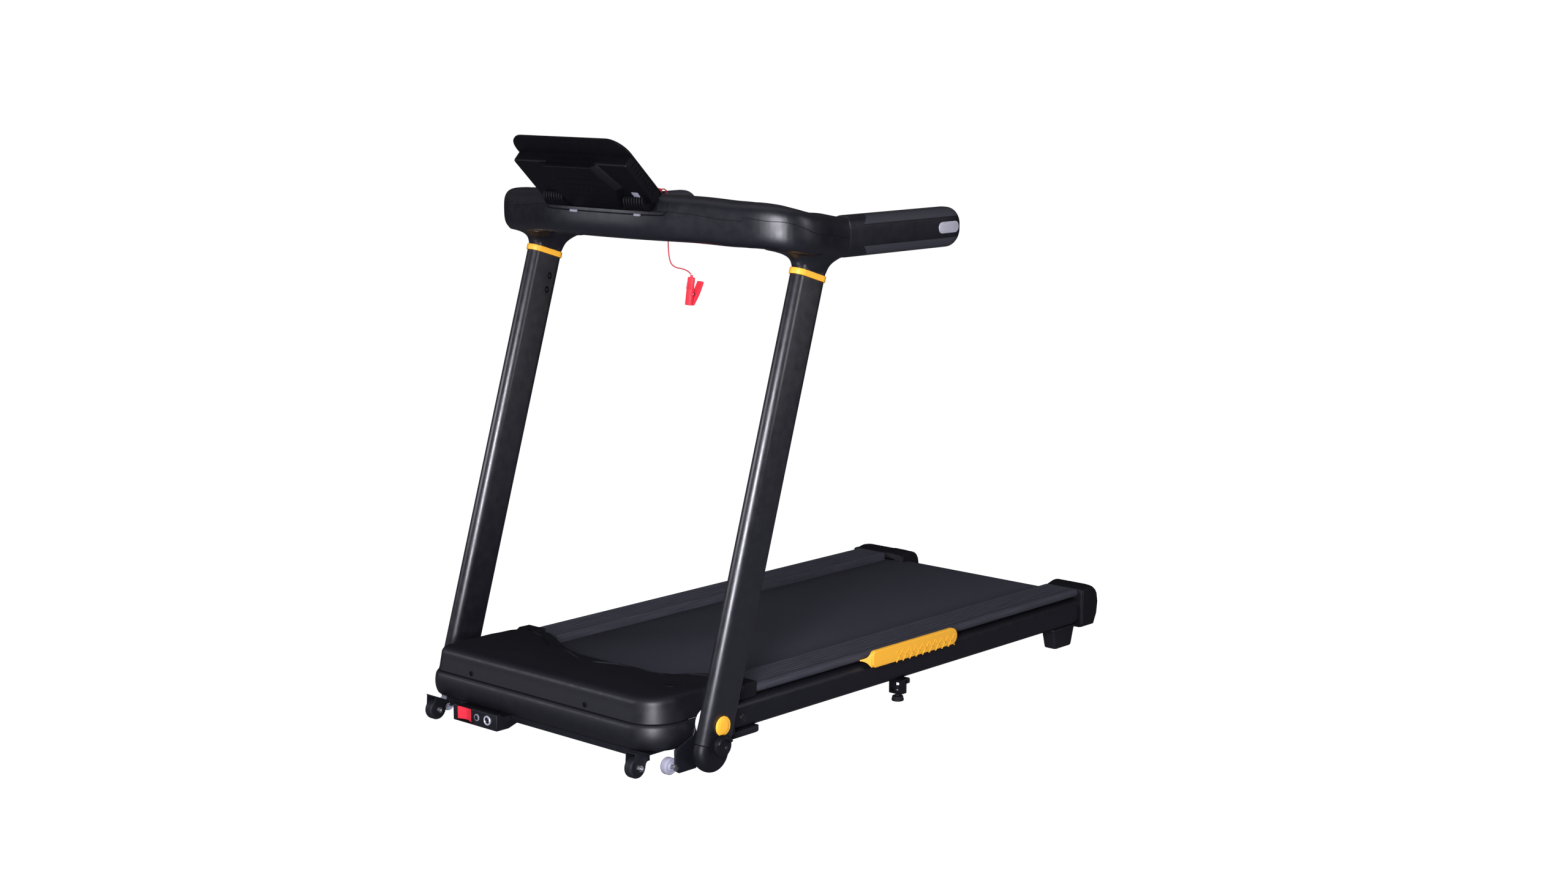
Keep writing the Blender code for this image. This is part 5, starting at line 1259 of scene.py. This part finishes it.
# ---------------------------------------------------------------- handlebar
ARM_END_Y = HANDLE_LOW.y - GAP
BEAM_PLAN = [(0.0, -0.44), (0.08, -0.437), (0.14, -0.427), (0.2075, -0.405), (0.27, -0.388),
             (0.318, -0.374), (0.351, -0.349), (0.359, -0.31), (0.354, -0.265), (0.349, -0.23),
             (0.3465, ARM_END_Y)]
CONSOLE_FOOT = Vector((0.0, -0.456, 0.998))
CONSOLE_HINGE = Vector((0.0, -0.4735, 0.9885))
CONSOLE_TILT = math.radians(44.2)
BACK_TOP = 0.1065
VENT_MIDDLE = Vector((0.005, -0.0185))  # across, and out from the face
POCKET_RADIUS = 0.0185
MELT_VOXEL = 0.0024
SOFTEN_STEPS = 10
POCKET_HALF = 0.139
REST_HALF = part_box("console_face")[1][0] + 0.0015
BUTTONS_UP = 0.027


def run_of(x, y):
    """How far back along the handlebar a place is; across the middle it changes little."""
    return y if abs(x) > 0.3 else -0.44 + 0.0635 * (abs(x) / 0.3) ** 3


def seam_height(x, y):
    """Height of the parting line between the handlebar's two shells."""
    return blend([(-0.44, 0.9715), (-0.39, 0.96), (-0.3, 0.934), (-0.2, 0.921)], run_of(x, y))


def console_place(x, up, out):
    """From the console's own frame to the world: X across, up its face, out towards the user."""
    c, s = math.cos(CONSOLE_TILT), math.sin(CONSOLE_TILT)
    return CONSOLE_FOOT + Vector((x, -c * up + s * out, s * up + c * out))


def on_front(surface, x, z):
    """Where the handlebar's front is, at a place seen from in front."""
    hit = surface.ray_cast(Vector((x, -0.6, z)), Vector((0.0, 1.0, 0.0)))
    return hit[0]


def pocket_rim(surface):
    """A thin raised bead round the foot of the console pocket."""
    seen = [(-0.1585, 0.996), (-0.1582, 0.985), (-0.1575, 0.974), (-0.1545, 0.9672), (-0.149, 0.9645)]
    seen += [(-0.14 + 0.01 * k, 0.9638) for k in range(29)]
    seen += [(-x, z) for x, z in seen[4::-1]]
    spots = [on_front(surface, x, z) for x, z in seen]
    route = smooth_route([spot for spot in spots if spot is not None], 0.004)
    rings = []
    for i, here in enumerate(route):
        heading = (route[min(i + 1, len(route) - 1)] - route[max(i - 1, 0)]).normalized()
        out = Vector((0.0, -1.0, 0.0))
        across = heading.cross(out).normalized()
        rings.append([here + across * a + out * b for a, b in arc((0.0, -0.0002), 0.0013, 0, 330, 11)])
    finish("pocket_rim", solid(loft, rings), "console", "upright_frame", sharp=60)


def hinge_tabs(surface):
    """Two light tabs under the console's knuckles."""
    bm = bmesh.new()
    for low, high in ((-0.074, -0.055), (0.09, 0.105)):
        spot = on_front(surface, (low + high) / 2, 0.963)
        slab(bm, rounded_rectangle((low, 0.9612), (high, 0.9652), 0.0012, 4), -0.001, 0.003,
             lambda a, b, depth: Vector((a, spot.y - depth, b)))
    finish("hinge_tabs", bm, "button", "upright_frame", merge=False)


def handlebar():
    """The bent beam and its two necks, melted into one body, then cut for the console and the handles."""
    half = [Vector((p.x, p.y)) for p in smooth_route([(x, y, 0) for x, y in BEAM_PLAN], 0.006)]
    half += [Vector((half[-1].x, ARM_END_Y + 0.006)), Vector((half[-1].x, ARM_END_Y + 0.012))]
    path = [Vector((-p.x, p.y)) for p in reversed(half[1:])] + half
    bm = bmesh.new()
    rings = []
    for i, here in enumerate(path):
        before, after = path[max(i - 1, 0)], path[min(i + 1, len(path) - 1)]
        heading = (after - before).normalized()
        if i in (0, len(path) - 1):
            heading = Vector((0, -1)) if i == 0 else Vector((0, 1))
        outwards = Vector((heading.y, -heading.x))
        run = run_of(here.x, here.y)
        middle = blend([(-0.44, 0.9575), (-0.39, 0.951), (-0.3, 0.933), (-0.2, 0.921)], run)
        height = blend([(-0.44, 0.083), (-0.36, 0.08), (-0.26, 0.074)], run)
        depth = blend([(-0.44, 0.072), (-0.36, 0.064), (-0.24, 0.046)], run)
        rings.append([(here.x + outwards.x * a, here.y + outwards.y * a, middle + b)
                      for a, b in superellipse(depth / 2, height / 2, 3.2, 72)])
    loft(bm, rings)
    stops = [((-0.3311, 0.8768), (-0.2547, 0.8532), 0.016, 0.0),
             ((-0.3315, 0.885), (-0.248, 0.8645), 0.017, 0.001),
             ((-0.3345, 0.8905), (-0.242, 0.8715), 0.018, 0.003),
             ((-0.34, 0.8955), (-0.233, 0.877), 0.0193, 0.007),
             ((-0.349, 0.9), (-0.2215, 0.8815), 0.0207, 0.014),
             ((-0.362, 0.904), (-0.21, 0.885), 0.0218, 0.024),
             ((-0.38, 0.908), (-0.2056, 0.89), 0.0225, 0.036)]
    for sign in (-1.0, 1.0):
        rings = []
        for front, rear, half_width, flare in stops:
            middle, reach = (Vector(front) + Vector(rear)) / 2, (Vector(rear) - Vector(front)) / 2
            ring = []
            for across, side in superellipse(1.0, half_width, 2.6, 64):
                if side < 0.0:
                    side *= 1.0 + flare / half_width * max(0.0, -across) ** 0.7
                ring.append((sign * (UPRIGHT_X + side), *(middle + reach * across)))
            rings.append(ring)
        loft(bm, rings)
    bmesh.ops.recalc_face_normals(bm, faces=bm.faces)
    bar = loose(bm, "handlebar_shell")
    step = bar.modifiers.new("melt", "REMESH")
    step.mode = "VOXEL"
    step.voxel_size = MELT_VOXEL
    step.adaptivity = 0.0
    soft = bar.modifiers.new("soften", "SMOOTH")
    soft.factor = 0.5
    soft.iterations = SOFTEN_STEPS
    bake(bar)
    bm = bmesh.new()
    dome(bm, [(0, -POCKET_HALF), (POCKET_RADIUS, -POCKET_HALF), (POCKET_RADIUS, POCKET_HALF),
              (0, POCKET_HALF)], lambda a, b, h: CONSOLE_HINGE + Vector((h, a, b)), 56)
    boolean(bar, loose(bm))
    boolean(bar, loose(solid(slab, rounded_rectangle((-REST_HALF, -0.0045), (REST_HALF, 0.03), 0.002), -0.012,
                             0.006, console_place)))
    for sign in (-1.0, 1.0):
        bm = bmesh.new()
        slab(bm, rounded_rectangle((0.3, 0.85), (0.4, 1.0), 0.001), ARM_END_Y, ARM_END_Y + 0.05,
             lambda a, b, depth, sign=sign: Vector((sign * a, depth, b)))
        boolean(bar, loose(bm))
    surface = BVHTree.FromObject(bar, bpy.context.evaluated_depsgraph_get())
    pocket_rim(surface)
    hinge_tabs(surface)
    mesh = bar.data
    bpy.data.objects.remove(bar, do_unlink=True)
    seam = mesh.attributes.new("seam", "FLOAT", "POINT")
    for vert, value in zip(mesh.vertices, seam.data):
        x, y, z = vert.co
        value.value = z - seam_height(x, y)
    finish_mesh("handlebar_body", mesh, "bar", "upright_frame",
                ["handlebar_upper_shell", "handlebar_lower_shell"], sharp=45)


def handles():
    """Straight handles with rounded ends and a pulse plate on either side."""
    half_w, half_h = (HANDLE_HIGH.x - HANDLE_LOW.x) / 2, (HANDLE_HIGH.z - HANDLE_LOW.z) / 2
    middle_z = (HANDLE_HIGH.z + HANDLE_LOW.z) / 2
    front, end = HANDLE_LOW.y, HANDLE_HIGH.y
    turn_y = end - half_h
    for side, sign in SIDES:
        bm = bmesh.new()
        rings = []
        stations = [(front, 0.01, 0.001), (front + 0.0006, 0.0075, 0.0003), (front + 0.0015, 0.0055, 0.0),
                    (front + 0.0029, 0.0029, 0.0), (front + 0.006, 0.001, 0.0), (front + 0.01, 0.0, 0.0)]
        stations += [(front + 0.01 + (turn_y - front - 0.01) * k / 14, 0.0, 0.0) for k in range(1, 15)]
        for y, drop, inset in stations:
            rings.append([(sign * (UPRIGHT_X + a), y, min(middle_z + b, middle_z + half_h - drop))
                          for a, b in superellipse(half_w - inset, half_h - inset, 3.2, 72)])
        for k in range(1, 19):
            angle = math.radians(88.5) * k / 18
            tall, wide = math.cos(angle), math.cos(angle) ** 0.55
            rings.append([(sign * (UPRIGHT_X + a * wide), turn_y + half_h * math.sin(angle),
                           middle_z + b * tall) for a, b in superellipse(half_w, half_h, 3.2, 72)])
        loft(bm, rings)
        finish(f"grip_{side}", bm, "grip", f"handle_{side}", [f"handle_{side}"], sharp=45)
        for index, reach in enumerate((half_w, -half_w)):
            bm = bmesh.new()
            pill = stadium(0.06, 0.0215, 16)
            rings = []
            for depth, shrink in ((-0.0012, 0.0), (0.0004, 0.0), (0.0008, 0.0004), (0.001, 0.0012)):
                ring = []
                for a, b in pill:
                    scale = 1.0 - shrink / 0.0107
                    out = math.copysign(abs(reach) + depth, reach)
                    ring.append(Vector((sign * (UPRIGHT_X + out), PULSE_Y + a * (1 - shrink / 0.03),
                                        PULSE_Z + b * scale)))
                rings.append(ring)
            loft(bm, rings)
            finish(f"pulse_plate_{side}_{index}", bm, "sensor", f"handle_{side}", sharp=40)


# ---------------------------------------------------------------- console
def console():
    """Face, buttons and display, then the housing behind with its vents, panel and hinge knuckles."""
    wide, tall, corner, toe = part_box("console_face")[1][0], 0.148, 0.038, 0.012

    def face_outline(inset):
        w, t, c = wide - inset, tall - inset, corner - inset
        return (arc((w - c, t - c), c, 0, 90, 20) + arc((-w + c, t - c), c, 90, 180, 20)
                + arc((-w + toe, toe + inset * 0.6), toe - inset * 0.6, 180, 270, 8)
                + arc((w - toe, toe + inset * 0.6), toe - inset * 0.6, 270, 360, 8))
    bm = bmesh.new()
    levels = ((0.0009, -0.0025), (0.0002, -0.0021), (0.0, -0.0014), (0.0, 0.0012), (0.0003, 0.0019),
              (0.001, 0.0024), (0.002, 0.0025))
    loft(bm, [[console_place(x, up, out) for x, up in face_outline(inset)] for inset, out in levels])
    face = finish("console_plate", bm, "console", "console", ["console_face"], sharp=40)
    for name, x, radius in (("start_button", 0.0, 0.011), ("speed_up_button", -0.055, 0.008),
                            ("speed_down_button", 0.055, 0.008)):
        def place(a, b, h, x=x):
            return console_place(x + a, BUTTONS_UP + b, h)
        bm = bmesh.new()
        dome(bm, [(0, -0.01), (radius + 0.0006, -0.01), (radius + 0.0006, 0.01), (0, 0.01)],
             place, 40)
        boolean(face, loose(bm))
        bm = bmesh.new()
        dome(bm, [(0, -0.0012), (radius, -0.0012), (radius, 0.003), (radius - 0.0006, 0.0039),
                  (radius * 0.7, 0.0042), (0, 0.0036)], place, 40)
        finish(name + "_cap", bm, "button", name, [name], sharp=40)
        bm = bmesh.new()
        turned(bm, [(radius + 0.0008, 0.002), (radius + 0.0022, 0.002), (radius + 0.002, 0.003),
                    (radius + 0.001, 0.003)], place, 40)
        finish(name + "_bezel", bm, "sensor", "console", sharp=40)
    face.data.shade_smooth()
    face.data.set_sharp_from_angle(angle=math.radians(40))
    bm = bmesh.new()
    lens = rounded_rectangle((-0.112, 0.058), (0.112, 0.122), 0.012, 10)
    middle = Vector((0, 0.09))
    rings = []
    for inset, out in ((0.0, 0.002), (0.0, 0.003), (0.0008, 0.0036), (0.002, 0.0038)):
        rings.append([console_place(x - math.copysign(inset, x), up - math.copysign(inset, up - middle.y),
                                    out) for x, up in lens])
    loft(bm, rings)
    finish("display_lens", bm, "lens", "console", sharp=40)
    bm = bmesh.new()
    slab(bm, rounded_rectangle((-0.1, 0.0445), (0.1, 0.05), 0.0025), 0.0018, 0.01, console_place)
    finish("media_ledge", bm, "console", "console", bevel=0.001, sharp=40)

    bm = bmesh.new()
    rings = []
    for out, inset in ((-0.0029, 0.0), (-0.02, 0.0002), (-0.0222, 0.0008), (-0.0235, 0.002),
                       (-0.024, 0.0038)):
        half = wide - 0.001 - inset
        outline = rounded_rectangle((-half, 0.0036 + inset), (half, BACK_TOP - inset), 0.005 - inset, 6)
        rings.append([console_place(x, up, out) for x, up in outline])
    loft(bm, rings)
    housing = finish("console_housing", bm, "console", "console", ["console_back"], sharp=28)

    def hexagon(half_top, half_mid, half_low, low, high):
        mid = 0.047
        return [(half_mid, mid), (half_top, high), (-half_top, high), (-half_mid, mid), (-half_low, low),
                (half_low, low)]
    bm = bmesh.new()
    loft(bm, [[console_place(x, up, out) for x, up in outline] for out, outline in
              ((-0.023, hexagon(0.075, 0.098, 0.072, 0.0045, BACK_TOP - 0.0004)),
               (-0.024, hexagon(0.075, 0.098, 0.072, 0.0045, BACK_TOP - 0.0004)),
               (-0.0332, hexagon(0.063, 0.085, 0.061, -0.003, BACK_TOP - 0.0006)),
               (-0.034, hexagon(0.0616, 0.0836, 0.0596, -0.002, BACK_TOP - 0.0014)))])
    panel = finish("console_panel", bm, "console", "console", bevel=0.001, sharp=28)
    for item in (housing, panel):
        bm = bmesh.new()
        loft(bm, [[console_place(VENT_MIDDLE.x + a, up, VENT_MIDDLE.y + b)
                   for a, b in stadium(0.128, 0.021, 16)] for up in (BACK_TOP - 0.0022, BACK_TOP + 0.01)])
        boolean(item, loose(bm))
        item.data.shade_smooth()
        item.data.set_sharp_from_angle(angle=math.radians(28))

    # vents: two rows of slots in the pill-shaped recess, slots on the sides, dashes on the raised panel, each
    # a thin dark tile of painted shade standing in for an opening
    bm = bmesh.new()
    for row in (-0.005, 0.005):
        for k in range(15):
            x = VENT_MIDDLE.x - 0.0525 + k * 0.0075
            loft(bm, [[console_place(x + a, up, VENT_MIDDLE.y + row + b)
                       for a, b in rounded_rectangle((-0.0024, -0.003), (0.0024, 0.003), 0.0016, 3)]
                      for up in (BACK_TOP - 0.0026, BACK_TOP - 0.0019)])
    finish("vent_slots", bm, "painted_shade", "console", merge=False, sharp=30)
    bm = bmesh.new()
    slab(bm, rounded_rectangle((0.1087, 0.023), (0.1246, 0.035), 0.0015, 4), -0.0246, -0.0236, console_place)
    finish("console_patch", bm, "button", "console", bevel=0.0003, segments=2)
    bm = bmesh.new()
    for row in range(4):
        for k in range(7):
            x, up = -0.04 + k * 0.0135, 0.03 + row * 0.015
            dash = rounded_rectangle((x - 0.004, up - 0.0008), (x + 0.004, up + 0.0008), 0.0007, 3)
            loft(bm, [[console_place(a, b, out) for a, b in dash] for out in (-0.0342, -0.0337)])
    finish("panel_dashes", bm, "painted_shade", "console", merge=False)
    bm = bmesh.new()
    slot = rounded_rectangle((-0.0055, -0.0017), (0.0055, 0.0017), 0.0014, 3)
    for sign in (-1.0, 1.0):
        for k in range(9):
            up = 0.024 + k * 0.0086
            edge = [console_place(0, up + b, -0.011 + a) for a, b in slot]
            loft(bm, [[Vector((sign * (wide - 0.001 + lift), p.y, p.z)) for p in edge]
                      for lift in (-0.0012, 0.0004)])
    finish("side_slots", bm, "painted_shade", "console", merge=False)

    # ribbed hinge knuckles
    for sign in (-1.0, 1.0):
        bm = bmesh.new()
        profile = [(0, 0.0)]
        start, step, count = 0.08, 0.0066, 8
        for k in range(count):
            x = start + k * step
            profile += [(0.014, x), (0.0176, x + 0.0003), (0.018, x + 0.0008), (0.018, x + 0.003),
                        (0.0176, x + 0.0035), (0.014, x + 0.0038)]
        profile[0] = (0, start)
        profile.append((0, start + count * step - 0.0028))
        dome(bm, profile, lambda a, b, h, sign=sign: CONSOLE_HINGE + Vector((sign * h, a, b)), 48)
        finish(f"hinge_ribs_{'right' if sign > 0 else 'left'}", bm, "console", "console", sharp=30)


# ---------------------------------------------------------------- stage and lights
FLOOR_HALF = 60.0
FLOOR_GLOW = 1.172
FLOOR_TO_SURFACES = (0.16, 0.16, 0.18)
WORLD_TO_SURFACES, WORLD_TO_CAMERA = 0.055, 1.05


def stage():
    """A pale floor that is dimmer to everything but the camera."""
    bm = bmesh.new()
    corners = [bm.verts.new((x * FLOOR_HALF, y * FLOOR_HALF, 0.0))
               for x, y in ((-1, -1), (1, -1), (1, 1), (-1, 1))]
    bm.faces.new(corners)
    mesh = bpy.data.meshes.new("studio_floor")
    bm.to_mesh(mesh)
    bm.free()
    floor = bpy.data.objects.new("studio_floor", mesh)
    floor.location.z = -0.0005
    bpy.context.scene.collection.objects.link(floor)
    made, tree, shader, place = new_material("studio_floor_look")
    seen = node(tree, "ShaderNodeLightPath").outputs["Is Camera Ray"]
    drift = remap(tree, noise(tree, place, 0.6, 3.0), 0.3, 0.7, 0.0, 1.0)
    pale = mix_colour(tree, drift, (0.9, 0.9, 0.9), (0.92, 0.92, 0.92))
    tree.links.new(mix_colour(tree, seen, FLOOR_TO_SURFACES, pale), shader.inputs["Base Color"])
    shader.inputs["Roughness"].default_value = 0.9
    shader.inputs["Specular IOR Level"].default_value = 0.0
    glow = node(tree, "ShaderNodeEmission")
    glow.inputs["Strength"].default_value = FLOOR_GLOW
    blend_in = node(tree, "ShaderNodeMixShader")
    tree.links.new(maths(tree, "MULTIPLY", seen, 0.85), blend_in.inputs[0])
    tree.links.new(shader.outputs[0], blend_in.inputs[1])
    tree.links.new(glow.outputs[0], blend_in.inputs[2])
    tree.links.new(blend_in.outputs[0], tree.nodes["Material Output"].inputs["Surface"])
    mesh.materials.append(made)


LIGHTS = (  # name, place, aimed at, width and height, watts, colour
    ("key", (2.2, -2.95, 1.05), (0, -0.3, 0.5), (0.7, 2.0), 215.0, (0.92, 0.91, 1.0)),
    ("front", (-2.6, -3.4, 1.6), (0, -0.4, 0.4), (1.2, 1.8), 52.0, (0.88, 0.88, 1.0)),
    ("top", (-0.6, 0.3, 3.2), (0, 0, 0.3), (2.0, 2.0), 32.0, (0.9, 0.9, 1.0)),
    ("side", (3.2, 1.2, 1.6), (0, 0.2, 0.3), (1.2, 1.6), 26.0, (0.92, 0.92, 1.0)),
)


def light(name, location, target, size, power, colour):
    """A soft rectangular lamp that the camera doesn't see."""
    data = bpy.data.lights.new(name, "AREA")
    data.shape = "RECTANGLE"
    data.size, data.size_y = size
    data.energy = power
    data.color = colour
    item = bpy.data.objects.new(name, data)
    item.location = location
    item.rotation_euler = (Vector(target) - Vector(location)).to_track_quat("-Z", "Y").to_euler()
    item.visible_camera = False
    bpy.context.scene.collection.objects.link(item)


def world():
    """White to the camera, dimmer to everything else, so that dark surfaces keep their depth."""
    made = bpy.data.worlds.new("studio_world")
    made.use_nodes = True
    tree = made.node_tree
    background = tree.nodes["Background"]
    background.inputs["Color"].default_value = (0.985, 0.985, 1.0, 1.0)
    seen = node(tree, "ShaderNodeLightPath").outputs["Is Camera Ray"]
    tree.links.new(remap(tree, seen, 0.0, 1.0, WORLD_TO_SURFACES, WORLD_TO_CAMERA),
                   background.inputs["Strength"])
    bpy.context.scene.world = made
    bpy.context.scene.view_settings.view_transform = "Standard"


for name, look in NODE_LOOKS.items():
    bpy.data.objects[name].data.materials.clear()
    bpy.data.objects[name].data.materials.append(LOOKS[look])

for build in (side_tubes, foot_rails, rear_ends, rear_guard, running_belt, level_feet, wheels, pivot_brackets,
              hood_top, hood_lower, power_box, side_pad, uprights, knobs, handlebar, handles, console, stage):
    build()
for row in LIGHTS:
    light(*row)
world()
